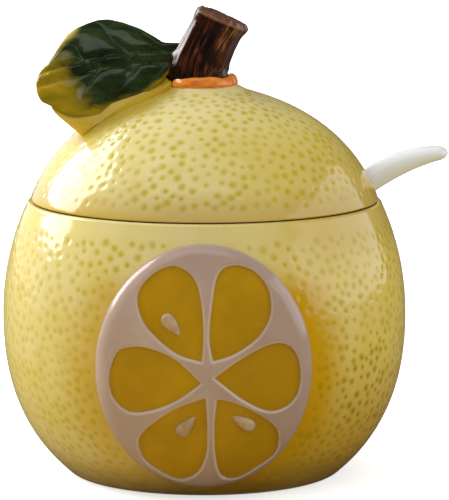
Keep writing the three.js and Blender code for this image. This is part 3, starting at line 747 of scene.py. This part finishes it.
# %% Outlines of the segments
SEGMENTS = [
    [(2.5, 32.4), (9.0, 27.0), (15.0, 23.8), (19.4, 24.4), (22.4, 27.6),
     (23.1, 33.0), (21.8, 38.0), (18.6, 40.3), (14.6, 39.8), (9.0, 37.0)],
    [(2.2, 36.3), (7.4, 38.0), (13.0, 41.9), (15.9, 47.0), (15.5, 52.9),
     (12.2, 57.3), (7.4, 59.0), (3.6, 57.2), (2.1, 51.0), (1.3, 42.0)],
    [(-0.3, 36.2), (0.1, 43.0), (-0.6, 51.6), (-2.6, 56.6), (-7.2, 58.9),
     (-12.4, 56.5), (-15.6, 51.8), (-14.8, 46.4), (-11.4, 42.0), (-6.0, 37.9)],
    [(-0.4, 31.1), (-6.2, 36.6), (-12.0, 39.2), (-16.8, 39.6), (-20.6, 37.8),
     (-22.5, 32.0), (-21.6, 26.8), (-18.0, 23.5), (-13.0, 23.8), (-6.2, 26.7)],
    [(0.6, 27.6), (-6.4, 24.9), (-12.4, 20.6), (-15.5, 16.4), (-14.4, 11.6),
     (-10.6, 8.1), (-5.6, 5.8), (-1.3, 8.1), (0.7, 13.2), (1.0, 20.5)],
    [(3.2, 27.3), (2.5, 20.5), (2.8, 12.0), (4.3, 6.9), (8.0, 6.2),
     (13.0, 9.2), (17.2, 12.8), (17.8, 18.2), (14.6, 22.1), (8.2, 25.9)],
]


def smooth_outline(corners):
    """A smooth curve through the corners and back to the first one, which stays sharp."""
    ring = np.array([corners[0], *corners, corners[0], corners[0]], float)
    t = np.linspace(0, 1, 12, endpoint=False)[:, None]
    return np.concatenate([through_points(*four, t) for four in zip(ring, ring[1:], ring[2:], ring[3:])])


outlines = [smooth_outline(corners) for corners in SEGMENTS]


def distance_to(outline, x, z):
    """Distance of places from an outline, negative inside it."""
    here = np.column_stack([x, z])
    best = np.full(len(here), 1e9)
    inside = np.zeros(len(here), bool)
    for a, b in zip(outline, np.roll(outline, -1, axis=0)):
        side = b - a
        share = np.clip((here - a) @ side / max(side @ side, 1e-12), 0, 1)
        best = np.minimum(best, np.linalg.norm(here - a - share[:, None] * side, axis=1))
        crosses = (a[1] > here[:, 1]) != (b[1] > here[:, 1])
        with np.errstate(divide="ignore", invalid="ignore"):
            cut = a[0] + (here[:, 1] - a[1]) * side[0] / side[1]
        inside ^= crosses & (here[:, 0] < cut)
    return np.where(inside, -best, best)


print("points in an outline", [len(outline) for outline in outlines])

# %% [markdown]
# The pith is a slab drawn out into the oval. The back lies just under the skin of the pot, and the
# front rises in a round edge, swells a little towards each pocket and falls softly into it.

# %% Pith of the slice
pith = roll_slab("slice_pith_glazed", 190, 190)
front = thicken(pith)
disc_x, disc_z = to_disc(*sheet_places(pith))
x, z = SLICE_WIDE * disc_x, SLICE_HEIGHT + SLICE_HIGH * disc_z
oval = np.hypot(disc_x, disc_z)
steep = np.hypot(disc_x / SLICE_WIDE, disc_z / SLICE_HIGH) / np.maximum(oval, 1e-6)
from_edge = (1 - oval) / np.maximum(steep, 1e-6)
pocket = np.min([distance_to(outline, x, z) for outline in outlines], axis=0)
fall = np.clip((0.35 - pocket) / 0.75, 0, 1)
fall = fall * fall * (3 - 2 * fall)
lip = 0.1 * np.exp(-((pocket - 0.7) / 0.6) ** 2)
lift = round_off(1 - from_edge / 2.6) * (2.05 + lip) - 0.95 * fall
set_points(pith, on_front(x, z, np.where(front, lift, -0.35)))
remember(pith, "pocket", pocket)
weld(pith)
tell("pith", pith)

# %% [markdown]
# Each segment of pulp is a small slab drawn out to its outline, a little domed, lying in its pocket.

# %% Pulp
def pulp_lift(depth):
    """Height of the pulp over the skin, by the distance inside its outline."""
    return 1.35 + 0.2 * (1 - np.exp(-np.maximum(depth, 0) / 1.6))


pulps = []
for number, outline in enumerate(outlines):
    piece = roll_slab(f"pulp_{number + 1}", 56, 56)
    front = thicken(piece)
    disc_x, disc_z = to_disc(*sheet_places(piece))
    middle = outline.mean(axis=0)
    angles = np.arctan2(*(outline - middle).T[::-1])
    order = np.argsort(angles)
    reach = np.linalg.norm(outline - middle, axis=1)[order]
    turned = np.concatenate([angles[order] - 2 * math.pi, angles[order], angles[order] + 2 * math.pi])
    bearing = np.arctan2(disc_z, disc_x)
    radius = np.interp(bearing, turned, np.tile(reach, 3)) * np.hypot(disc_x, disc_z)
    x, z = middle[0] + radius * np.cos(bearing), middle[1] + radius * np.sin(bearing)
    depth = -distance_to(outline, x, z)
    set_points(piece, on_front(x, z, np.where(front, pulp_lift(depth), 0.5)))
    weld(piece)
    pulps.append(piece)
print("pulp", [triangles(piece) for piece in pulps])

# %% [markdown]
# The pips are spheres drawn out into drops, laid half sunk on the pulp. Each is given by its place and
# the way that its thick end points.

# %% Pips
PIPS = [(-7.5, 45.1, 129), (-4.1, 20.3, 230), (9.5, 21.1, -33)]
pips = []
for number, (across, up, turn) in enumerate(PIPS):
    fresh()
    bpy.ops.mesh.primitive_uv_sphere_add(segments=40, ring_count=24, radius=1.0)
    piece = bpy.context.object
    piece.name = piece.data.name = f"pip_{number + 1}_glazed"
    ball = points_of(piece) * MM
    angle = math.radians(turn)
    taper = 1 + 0.46 * ball[:, 2] - 0.1 * (1 - ball[:, 2] ** 2)
    run, side, rise = 3.1 * ball[:, 2], 1.65 * taper * ball[:, 0], 1.15 * taper * ball[:, 1]
    x = across + run * math.cos(angle) - side * math.sin(angle)
    z = up + run * math.sin(angle) + side * math.cos(angle)
    set_points(piece, on_front(x, z, 1.55 + rise))
    weld(piece)
    pips.append(piece)
print("pips", [points_of(piece).mean(0).round(1).tolist() for piece in pips])

# %% [markdown]
# The stem is a slab rolled into a bent tube. The side gets lengthwise ridges like bark, made from a
# few sines whose phase wanders with the height, and the cut end is closed with rings of growth. The
# first three quarters of the sheet make the side, and the rest makes the cut end with its round edge.

# %% Stem
STEM_X = -0.8
SIDE_SHARE = 0.76
EDGE_SHARE = 0.16
EDGE_ROUND = 0.8


def stem_line(t):
    """Middle of the stem from 0 at its foot to 1 at its cut end, and how far it has tilted there."""
    t = np.asarray(t, float)
    straight = np.clip(t / 0.18, 0, 1)
    t = np.clip((t - 0.18) / 0.82, 0, 1)
    x = STEM_X + 5.3 * t ** 2
    z = 96.2 + 3.2 * straight + 2 * t * (1 - t) * 4.5 + 13.5 * t ** 2
    return x, z, math.radians(23.5) * t


def bark(angle, t):
    """Ridges of the bark, in millimetres."""
    wander = 0.5 * np.sin(5.0 * t + 1.3) + 0.35 * np.sin(11.0 * t + 0.4)
    broad = 0.2 * np.sin(4 * angle + 2.2 * wander + 0.6) + 0.17 * np.sin(7 * angle - 1.6 * wander)
    fine = 0.08 * np.sin(15 * angle + 3.1 * wander + 4 * t) + 0.04 * np.sin(27 * angle - 2.0 * t)
    horn = 0.9 * np.exp(-((angle - 3.2) / 0.3) ** 2 - ((t - 0.47) / 0.06) ** 2)
    return broad + fine + horn


stem = roll_slab("bark_stem", 130, 220)
along, across = sheet_places(stem)
angle = 2 * np.pi * across
t = np.clip(along / SIDE_SHARE, 0, 1)
face = np.clip((along - SIDE_SHARE) / (1 - SIDE_SHARE), 0, 1)
flat = face > EDGE_SHARE
x, z, tilt = stem_line(t)
leftward = np.clip(-np.cos(angle), 0, 1) ** 2
flare = (0.2 + 2.4 * leftward) * np.exp(-((t - 0.12) / 0.42) ** 2)
lip = 0.55 * np.exp(-((t - 0.98) / 0.07) ** 2)
radius = 6.35 + flare + lip + bark(angle, t) * np.clip(1.2 - 0.25 * t, 0, 1)
round_edge = round_off(face / EDGE_SHARE)
shrink = np.where(flat, np.clip((1 - face) / (1 - EDGE_SHARE), 0, 1), 1.0)
radius = np.where(face > 0, (radius - EDGE_ROUND + EDGE_ROUND * round_edge) * shrink, radius)
rings = 0.16 * np.sin(radius * 3.4 + 0.8 * np.sin(2 * angle)) + 0.35 * (radius / 6.5) ** 2 - 0.2
rise = np.where(face > 0, EDGE_ROUND * (1 - round_edge) + np.where(flat, rings - 0.15, 0.0), 0.0)
side = radius * np.cos(angle)
set_points(stem, np.column_stack([x + side * np.cos(tilt) + rise * np.sin(tilt), radius * np.sin(angle),
                                  z - side * np.sin(tilt) + rise * np.cos(tilt)]))
remember(stem, "east", np.cos(angle))
remember(stem, "north", np.sin(angle))
weld(stem, holes=True)
tell("stem", stem)

# %% [markdown]
# The collar is a low ring of clay round the foot of the stem, pressed on by hand, so it is thrown as a
# ring and then made uneven: each point moves in or out a little by where it is round the ring.

# %% Collar
collar_stations = [(5.5, 96.2), (7.8, 96.2), (8.4, 96.4), (8.6, 97.0), (8.5, 97.8), (8.1, 98.6),
                   (7.5, 99.1), (6.8, 99.0), (6.0, 98.3)]
collar = throw_on_wheel("clay_collar", collar_stations, 72)
points = points_of(collar)
turn = np.arctan2(points[:, 1], points[:, 0])
uneven = 1 + 0.014 * np.sin(5 * turn + 0.6) + 0.01 * np.sin(11 * turn + 2.0) + 0.006 * np.sin(19 * turn)
points[:, :2] *= uneven[:, None]
high = np.clip((points[:, 2] - 97.0) / 1.4, 0, 1)
points[:, 2] += high * (0.2 * np.sin(4 * turn + 1.0) + 0.1 * np.sin(9 * turn))
points[:, 0] += STEM_X * 0.5
set_points(collar, points)
tell("collar", collar)

# %% [markdown]
# The leaf is a slab too: along its midrib and across from the lower edge to the upper one. Two tables
# give its width above and below the midrib, with the pinched tip. The veins are grooves, and the
# blade swells like a pillow between them. Front and back meet in a round edge.

# %% Leaf
LEAF_TILT = math.radians(35)
LEAF_UP = np.array([0, math.sin(LEAF_TILT), math.cos(LEAF_TILT)])
LEAF_OUT = np.array([0, -math.cos(LEAF_TILT), math.sin(LEAF_TILT)])
LEAF_BASE = -7.7
LEAF_LONG = 33.5
RIB_SIDE = 1.7
FAR = 99.0
VEINS = [(0.04, 1), (0.33, 1), (0.62, 1), (0.02, -1), (0.28, -1), (0.55, -1)]
LEAF_ABOVE = [(0, 4.0), (0.07, 4.2), (0.25, 9.3), (0.36, 11.8), (0.48, 13.6), (0.56, 13.8), (0.63, 13.3),
              (0.72, 12.3), (0.79, 10.8), (0.84, 8.3), (0.88, 5.9), (0.92, 4.4), (0.96, 3.5), (1, 2.9)]
LEAF_BELOW = [(0, 2.7), (0.07, 6.0), (0.25, 10.7), (0.36, 12.3), (0.48, 12.7), (0.56, 12.7), (0.63, 12.6),
              (0.72, 12.1), (0.79, 10.6), (0.88, 7.9), (0.95, 5.7), (1, 4.6)]


def soft_table(stops, u):
    """Reads a table of (place, value) with its corners rounded off."""
    fine = np.linspace(-0.2, 1.1, 521)
    window = np.hanning(25)
    values = np.pad(np.interp(fine, *zip(*stops)), 12, mode="edge")
    return np.interp(u, fine, np.convolve(values, window / window.sum(), "valid"))


def leaf_half(u, v):
    """Half the width of the leaf on the side of v, with a blunt round tip."""
    blunt = round_off((np.asarray(u, float) - 0.94) / 0.06)
    return blunt * np.where(np.asarray(v) > 0, soft_table(LEAF_ABOVE, u), soft_table(LEAF_BELOW, u))


def leaf_point(u, v, lift, more=0.0):
    """A point of the leaf: u along the midrib, v across from -1 below to 1 above."""
    half = leaf_half(u, v) + more
    u = np.asarray(u, float)
    rib = np.stack([LEAF_BASE - LEAF_LONG * u, -7 * u * u, 103.2 - 5.4 * u * u], axis=-1)
    lift = lift - 1.6 * v * v * half / 14.2
    return rib + LEAF_UP * (half * v)[..., None] + LEAF_OUT * lift[..., None]


def vein_distance(u, v):
    """Distance in millimetres from the nearest vein."""
    nearest = np.full_like(u, FAR)
    for start, side in VEINS:
        lean = 0.3 if side > 0 else 0.2
        line = start + lean * np.abs(v) ** 1.5 + 0.02 * np.sin(8 * np.abs(v) + 30 * start)
        slant = np.abs(u - line) * LEAF_LONG * 0.75
        nearest = np.minimum(nearest, np.where(v * side >= 0, slant, FAR))
    return nearest


leaf = roll_slab("green_leaf", 180, 110)
front = thicken(leaf)
along, across = sheet_places(leaf)
u = -0.1 + 1.1 * along
v = np.sin((across - 0.5) * math.pi)
edge = np.where(v < 0, 1 - np.abs(v) ** 2.6, np.sqrt(np.clip(1 - np.abs(v) ** 5, 0, 1)))
vein = vein_distance(u, v)
from_rib = np.abs(v) * leaf_half(u, v)
groove = np.exp(-(vein / 1.2) ** 2) + np.exp(-((from_rib - RIB_SIDE) / 0.8) ** 2)
swell = np.minimum(np.minimum(vein, np.abs(from_rib - RIB_SIDE)) / 4.2, 1)
pillow = 0.7 * np.sqrt(1 - (1 - swell) ** 2) - 0.42 * np.minimum(groove, 1)
pillow += 0.3 * np.exp(-(from_rib / 0.9) ** 2)
pillow += 0.16 * np.sin(17 * u + 3.0 * v) * np.sin(6.5 * v + 2.0) + 0.1 * np.sin(31 * u - 5.0 * v + 1.0)
wave = 0.5 * np.sin(9.0 * u + 1.0) * np.abs(v) ** 3
body = np.clip((1 - u) / 0.1, 0, 1) ** 0.5
top = edge * body * (1.25 + pillow) + wave
bottom = -edge * body * 1.5 + wave
set_points(leaf, leaf_point(u, v, np.where(front, top, bottom)))
weld(leaf, distance=0.00002)
tell("leaf", leaf)

# %% [markdown]
# Under the leaf lies a wedge of clay that joins it to the lid's shoulder. It is a slab rolled into a
# closed tube, with a soft section that reaches from the leaf's lower half down into the dome. At the
# end its points are smoothed, as with a wet finger.

# %% Pad under the leaf
def soft_loop(corners, share):
    """A smooth closed curve through a ring of corner points, for each share of its length."""
    count = len(corners)
    place_on = share * count
    low = np.floor(place_on).astype(int) % count
    t = (place_on - np.floor(place_on))[:, None]
    row = np.arange(len(share))
    ring = np.stack(corners)
    return through_points(*(ring[(low + step) % count, row] for step in (-1, 0, 1, 2)), t)


pad = roll_slab("leaf_pad_glazed", 90, 72)
along, across = sheet_places(pad)
u = -0.04 + 0.95 * along
one = np.ones_like(u)
lower = leaf_point(u, -one, -0.2 * one, 0.2 + 1.6 * np.clip((0.9 - u) / 0.45, 0, 1))
lower[:, 2] = np.maximum(lower[:, 2], dome_height(off_axis(lower)) + 0.7)
behind = leaf_point(u, -0.1 * one, -1.6 * one)
tip = leaf_point(np.array([0.91]), np.array([-1.0]), np.array([0.0]))[0]
slope = tip[2] - 0.6 - (lower[:, 0] - tip[0]) * math.tan(math.radians(39))
foot = np.minimum(np.maximum(slope, 74.0), lower[:, 2] - 0.8)
toe = lower + np.column_stack([0 * u, -0.4 - 1.0 * np.clip((0.5 - u) / 0.2, 0, 1), 0 * u])
toe[:, 2] = np.maximum(foot, dome_height(off_axis(toe)) - 0.4)
toe[:, 2] = np.minimum(toe[:, 2], lower[:, 2] - 0.8)
front_foot = np.column_stack([lower[:, 0], lower[:, 1] + 0.8, foot])
back_foot = np.column_stack([behind[:, 0], behind[:, 1], foot])
back_top = behind + np.column_stack([0 * u, 0.4 * one, -1.0 * one])
loop = soft_loop([lower, toe, front_foot, back_foot, back_top, behind], across)
cap = round_off((along - 0.92) / 0.08)
centre = (lower + behind) / 2
set_points(pad, centre + (loop - centre) * cap[:, None])
remember(pad, "from_lip", np.minimum(across, 1 - across))
weld(pad, holes=True)
with editing(pad):
    bpy.ops.mesh.vertices_smooth(factor=0.5, repeat=4)
tell("pad", pad)

# %% [markdown]
# The rind's glaze is painted in layers, as on the real pot: a cream ground, yellow sprayed over it in
# soft clouds, more of it round the slice, olive dots in the pores, bare clay under the foot and white
# inside. Other layers are painted light and shade: a paler crown as painted sheen, deeper yellow lower
# down and to the right as partly painted shade, painted shade near the foot, under the leaf's pad and
# on the lower lid, and a painted rim of light along the lid's edge. The lid and the pot share the recipe.

# %% Rind glaze
PAD_FOOT = [(-27, -10, 88.5), (-21, -10.5, 90.5), (-16, -10, 92.5), (-12.3, -4.5, 94.8)]
MIDDLE_BELLY = 48
MIDDLE_DROP = 47


def span(*parts):
    """The length of a line, from its parts along the axes."""
    return sum(part ** 2 for part in parts) ** 0.5


def rind_glaze(name, inner):
    glaze, point, x, y, z = start_glaze(name)
    cloud = point.noise(38, 3, 0.55)
    mottle = point.noise(160)
    rightward = x.fade(-15, 45)
    oval = span(x / SLICE_WIDE, (z - SLICE_HEIGHT) / SLICE_HIGH)
    halo = (1 - oval.fade(1, 1.42)) * (0 - y).fade(0, 20) * (1 - z.fade(50, 60))
    # The halo is stronger to the right, partly as painted shade.
    halo = (halo * (0.3 + 0.5 * cloud + 0.8 * rightward)).least(1)
    # Distance from the foot of the leaf's pad, for a painted shadow on the lid under the leaf.
    pad_shadow_distance = functools.reduce(Wash.least, [span(x - a, y - b, z - c) for a, b, c in PAD_FOOT])
    colour = coats(
        cloud.fade(0.35, 0.72).between(tone(223, 211, 150), tone(218, 202, 116)),
        (mottle.fade(0.5, 0.75) * 0.3, 206, 186, 78),
        # Painted sheen: the lid's top is paler.
        (z.fade(80, 94) * 0.6, 224, 213, 164),
        # Deeper yellow to the right, partly sprayed and partly painted shade.
        (rightward * 0.5, 208, 176, 58),
        (halo, 200, 154, 1),
        # Deeper yellow lower down, more to the right: partly sprayed, partly painted shade.
        ((1 - z.fade(0, 42)) * (0.2 + 0.8 * rightward), 182, 141, 0),
        # Painted shade near the foot.
        ((1 - z.fade(0, 12)) * (0.35 + 0.5 * mottle), 126, 88, 4),
        # Painted shadow on the lid under the leaf's pad.
        ((1 - pad_shadow_distance.fade(3, 10)) * 0.9, 178, 152, 54))

    strength = point.noise(90, 1).fade(0.3, 0.65)
    dot = (1 - point.stored("pore").fade(0.15, 1.35)) * (0.55 + 0.45 * strength)
    dot = dot * (0.5 + 0.5 * x.fade(-45, -10))
    shade = (1 - z.fade(14, 56)) * (0.2 + 0.8 * x.fade(5, 35))
    colour = dot.between(colour, shade.between(tone(190, 170, 4), tone(150, 122, 2)))

    on_lid = z.fade(RIM + 0.05, RIM + 0.15)
    # The lid's edge carries a painted rim of light.
    lid_edge_light = on_lid * (1 - z.fade(RIM + 0.5, RIM + 2.4))
    shoulder = z.fade(54, 64) * (1 - z.fade(78, 90)) * x.fade(10, 36) * (0 - y).fade(-10, 10)
    colour = coats(
        colour,
        # Painted shade on the lower lid, above the seam.
        (on_lid * (1 - z.fade(RIM + 1, RIM + 9)) * 0.6, 190, 162, 92),
        # Painted rim of light along the lid's edge, strongest on the left.
        (lid_edge_light * (0.75 - 0.5 * x.fade(-30, 0)), 204, 172, 52),
        (shoulder * 0.45, 180, 148, 48),
        (inner(x, y, z), 232, 228, 214))

    radius = span(x, y)
    joint = z.fade(RIM - 0.35, RIM - 0.2) * (1 - z.fade(RIM + 0.3, RIM + 0.4))
    joint = joint * radius.fade(mouth_radius - 1.2, mouth_radius - 1)
    joint = joint * (1 - radius.fade(EDGE - 0.5, EDGE - 0.2))
    clay = (1 - z.fade(0.3, 0.9)).most(joint)
    colour = clay.between(colour, z.fade(30, 40).between(tone(214, 203, 184), tone(136, 90, 26)))
    return close_glaze(glaze, Base_Color=colour, Roughness=0.09 + 0.04 * mottle + 0.6 * clay,
                       Normal=point.noise(420).bump(0.1))


def inside_pot(x, y, z):
    """1 on the lining: nearer the axis than the middle of the wall, above the floor."""
    above = ((z - BELLY_HEIGHT) / RISE).most(0)
    below = ((BELLY_HEIGHT - z) / MIDDLE_DROP).most(0)
    wall = MIDDLE_BELLY * (1 - above ** 2) ** 0.5 * (1 - below ** FULLNESS) ** (1 / FULLNESS)
    return (wall - span(x, y)).fade(-0.3, 0.3) * z.fade(3, 4)


def inside_lid(x, y, z):
    """1 on the lid's hollow and flange: under a dome two millimetres inside the outer one."""
    radius = span(x, y)
    stops = [(r / 45, ((dome_height(r) - 2) / 100,) * 3 + (1,)) for r in (0, 12, 20, 27, 32, 36, 39, 40.5)]
    ramp = radius.node("ShaderNodeValToRGB", {"stops": stops}, {0: radius / 45})
    height = radius.node("ShaderNodeSeparateColor", None, {0: ramp}) * 100
    return (height - z).fade(-0.2, 0.2) * (1 - radius.fade(40.4, 40.8))


rind_pot = rind_glaze("rind_glaze_pot", inside_pot)
rind_lid = rind_glaze("rind_glaze_lid", inside_lid)
print("rind glazes", rind_pot.name, rind_lid.name)

# %% [markdown]
# Pith, pulp and pips are poured glazes that pool: a faint mauve white, a golden ochre and a cream.
# Painted shade darkens the pith towards the bottom, the right and the top, and the pulp towards the
# lower right, and a painted highlight lines each pocket.

# %% Slice glazes
glaze, point, x, y, z = start_glaze("pith_glaze_mauve")
cloud = point.noise(60.0, 3.0)
to_pocket = point.stored("pocket")
# A painted highlight: a pale line round each pocket.
pocket_edge_highlight = to_pocket.fade(-0.25, 0.0) * (1 - to_pocket.fade(0.25, 0.6))
colour = coats(
    cloud.fade(0.35, 0.7).between(tone(190, 170, 162), tone(178, 154, 146)),
    # Painted shade: the pith is darker towards the bottom, the right and the top.
    ((1 - z.fade(4, 50)) * 0.5, 164, 139, 130),
    (x.fade(-2, 20) * 0.5, 152, 127, 118),
    (z.fade(46, 60) * 0.6, 168, 144, 136),
    (pocket_edge_highlight * 0.6, 212, 194, 178))
pith_glaze = close_glaze(glaze, Base_Color=colour, Roughness=0.12 + 0.06 * cloud,
                         Normal=point.noise(300.0).bump(0.08))

glaze, point, x, y, z = start_glaze("pulp_glaze_gold")
cloud = point.noise(90.0, 3.0)
fibre = point.noise(500.0)
colour = coats(
    cloud.fade(0.3, 0.7).between(tone(186, 144, 4), tone(173, 132, 2)),
    # Painted shade: the pulp is darker towards the lower right.
    (x.fade(-5, 15) * (1 - z.fade(34, 46)) * 0.5, 162, 122, 2),
    (fibre.fade(0.5, 0.8) * 0.3, 192, 152, 24))
pulp_glaze = close_glaze(glaze, Base_Color=colour, Roughness=0.12 + 0.06 * cloud, Normal=fibre.bump(0.12))

glaze, point, *_ = start_glaze("pip_glaze_cream")
cloud = point.noise(300.0)
colour = cloud.fade(0.35, 0.7).between(tone(188, 164, 138), tone(170, 140, 104))
pip_glaze = close_glaze(glaze, Base_Color=colour, Roughness=0.14 + 0.05 * cloud)
print("slice glazes", pith_glaze.name, pulp_glaze.name, pip_glaze.name)

# %% [markdown]
# Stem and collar are brushed: brown streaks run along the bark, darker between the ridges, and the cut
# end is paler and grainy, with a pale line at its rim. The collar is a stroke of orange, lighter at its
# left end as painted light.

# %% Stem and collar glazes
glaze, point, *_ = start_glaze("bark_glaze_brown")
east, north, upward = [point.stored(label) for label in ("east", "north", "along")]
streak_at = point.node("ShaderNodeCombineXYZ", None, {0: east * 5.4, 1: north * 5.4, 2: upward * 3.0})
streak = streak_at.noise(1.0, 4.0, 0.65)
blotch = point.stretched((260.0, 260.0, 150.0)).noise(1.0) + 0.2 * east.fade(-0.31, 0.64) - 0.09
pool = point.stretched((210.0, 210.0, 120.0)).noise(1.0).fade(0.46, 0.58)
right_side = east.fade(0.19, 0.81)
cut = upward.fade(0.78, 0.8)
grain = point.noise(700.0, 3.0)
rim_line = upward.fade(0.735, 0.755) * (1 - upward.fade(0.775, 0.8))
colour = coats(
    streak.fade(0.36, 0.66).between(tone(22, 8, 5), tone(78, 35, 14)),
    (streak.fade(0.52, 0.68) * blotch.fade(0.42, 0.62), 158, 108, 70),
    ((1 - streak.fade(0.4, 0.52)) * blotch.fade(0.5, 0.64), 16, 5, 3),
    (pool * (1 - right_side) * 0.8, 18, 6, 4),
    (right_side * 0.5, 70, 28, 8),
    (cut * 0.85, 112, 74, 56),
    (cut * grain.fade(0.45, 0.7) * 0.6, 60, 34, 24),
    (rim_line * 0.6, 150, 108, 84))
bark_glaze = close_glaze(glaze, Base_Color=colour, Roughness=0.1 + 0.12 * streak,
                         Normal=streak.bump(0.25, 0.0004))

glaze, point, x, *_ = start_glaze("collar_glaze_orange")
brush = point.stretched((260.0, 260.0, 900.0)).noise(1.0, 3.0)
colour = coats(
    brush.fade(0.35, 0.7).between(tone(238, 146, 54), tone(212, 114, 38)),
    # Painted light: the collar's left end is lighter, where the stem's shade falls.
    ((1 - x.fade(-8, -4)) * 0.6, 255, 164, 64))
collar_glaze = close_glaze(glaze, Base_Color=colour, Roughness=0.14 + 0.1 * brush, Normal=brush.bump(0.15))
print("brushed glazes", bark_glaze.name, collar_glaze.name)

# %% [markdown]
# The leaf's green is brushed over a yellow ground, which is left showing at the tip and along the
# lower edge; a pale line on the upper edge near the tip is partly that ground and partly a painted
# highlight. The paint reads how far along and across the leaf a point is. The pad is a warm yellow,
# with a painted shadow beside the leaf and painted shade towards its right end.

# %% Leaf and pad glazes
glaze, point, *_ = start_glaze("leaf_glaze_green")
length, width = point.stored("along"), point.stored("across")
brush = point.stretched((120.0, 320.0, 320.0), (0.0, 0.5, 0.0)).noise(1.0, 4.0, 0.6)
cloud = point.noise(130.0, 3.0)
green = brush.fade(0.3, 0.72).between(tone(20, 34, 12), tone(46, 64, 30))
ochre = brush.fade(0.3, 0.7).between(tone(172, 144, 2), tone(134, 117, 16))
bare = (length + 0.3 * (brush - 0.5) + 0.4 * (0.5 - width)).fade(0.71, 0.9)
# The pale line on the upper edge near the tip is partly bare ground and partly a painted highlight.
edge_line = (width + 0.1 * (brush - 0.5)).fade(0.72, 0.86) * length.fade(0.7, 0.79)
hem = 1 - (width + 0.16 * (brush - 0.5)).fade(0.1, 0.22)
dab = length.fade(0.95, 0.985) * point.noise(420.0, 1.0).fade(0.48, 0.58)
colour = coats(
    bare.most(edge_line.most(hem)).between(green, ochre),
    (edge_line, 184, 174, 88),
    (dab * 0.8, 112, 50, 14))
leaf_glaze = close_glaze(glaze, Base_Color=colour, Roughness=0.09 + 0.13 * cloud,
                         Normal=brush.bump(0.15, 0.0003))

glaze, point, x, *_ = start_glaze("pad_glaze_yellow")
cloud = point.noise(120.0, 3.0)
# Painted shadow of the leaf along the pad's lip.
leaf_shadow = 1 - point.stored("from_lip").fade(0.0, 0.12)
colour = coats(
    cloud.fade(0.3, 0.7).between(tone(244, 208, 72), tone(230, 192, 50)),
    (leaf_shadow * 0.5, 168, 142, 28),
    # Painted shade towards the pad's right end, near the stem.
    (x.fade(-33, -25) * 0.3, 164, 138, 34))
pad_glaze = close_glaze(glaze, Base_Color=colour, Roughness=0.16 + 0.08 * cloud)
print("leaf glazes", leaf_glaze.name, pad_glaze.name)

# %% [markdown]
# The spoon is plain white porcelain. It still isn't one flat colour: the glaze is a little warmer and
# duller where it has pooled.

# %% Porcelain
glaze, point, *_ = start_glaze("white_glaze_porcelain")
cloud = point.noise(70.0)
colour = cloud.fade(0.3, 0.7).between(tone(236, 238, 242), tone(228, 229, 232))
white_glaze = close_glaze(glaze, Base_Color=colour, Roughness=0.08 + 0.06 * cloud,
                          Normal=point.noise(240.0).bump(0.06))
print("porcelain", white_glaze.name)

# %% [markdown]
# Last, every piece gets its glaze, smooth shading and the body it moves with; the solid it stands for is
# hidden.

# %% Assemble
SMOOTH_UP_TO = math.radians(50)


def finish_piece(piece, glaze, body, node):
    fresh()
    piece.select_set(True)
    bpy.context.view_layer.objects.active = piece
    bpy.ops.object.shade_smooth_by_angle(angle=SMOOTH_UP_TO)
    piece.data.materials.clear()
    piece.data.materials.append(glaze)
    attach(piece, body)
    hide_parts(node)


finish_piece(pot_body, rind_pot, "pot", "pot_body")
finish_piece(pith, pith_glaze, "pot", "slice_pith")
for number, piece in enumerate(pulps):
    finish_piece(piece, pulp_glaze, "pot", f"pulp_segment_{number + 1}")
for number, piece in enumerate(pips):
    finish_piece(piece, pip_glaze, "pot", f"pip_{number + 1}")
finish_piece(lid_shell, rind_lid, "lid", "lid_shell")
finish_piece(collar, collar_glaze, "lid", "stem_collar")
finish_piece(stem, bark_glaze, "lid", "stem")
finish_piece(leaf, leaf_glaze, "lid", "leaf")
finish_piece(pad, pad_glaze, "lid", "leaf_pad")
finish_piece(spoon, white_glaze, "spoon", "spoon")
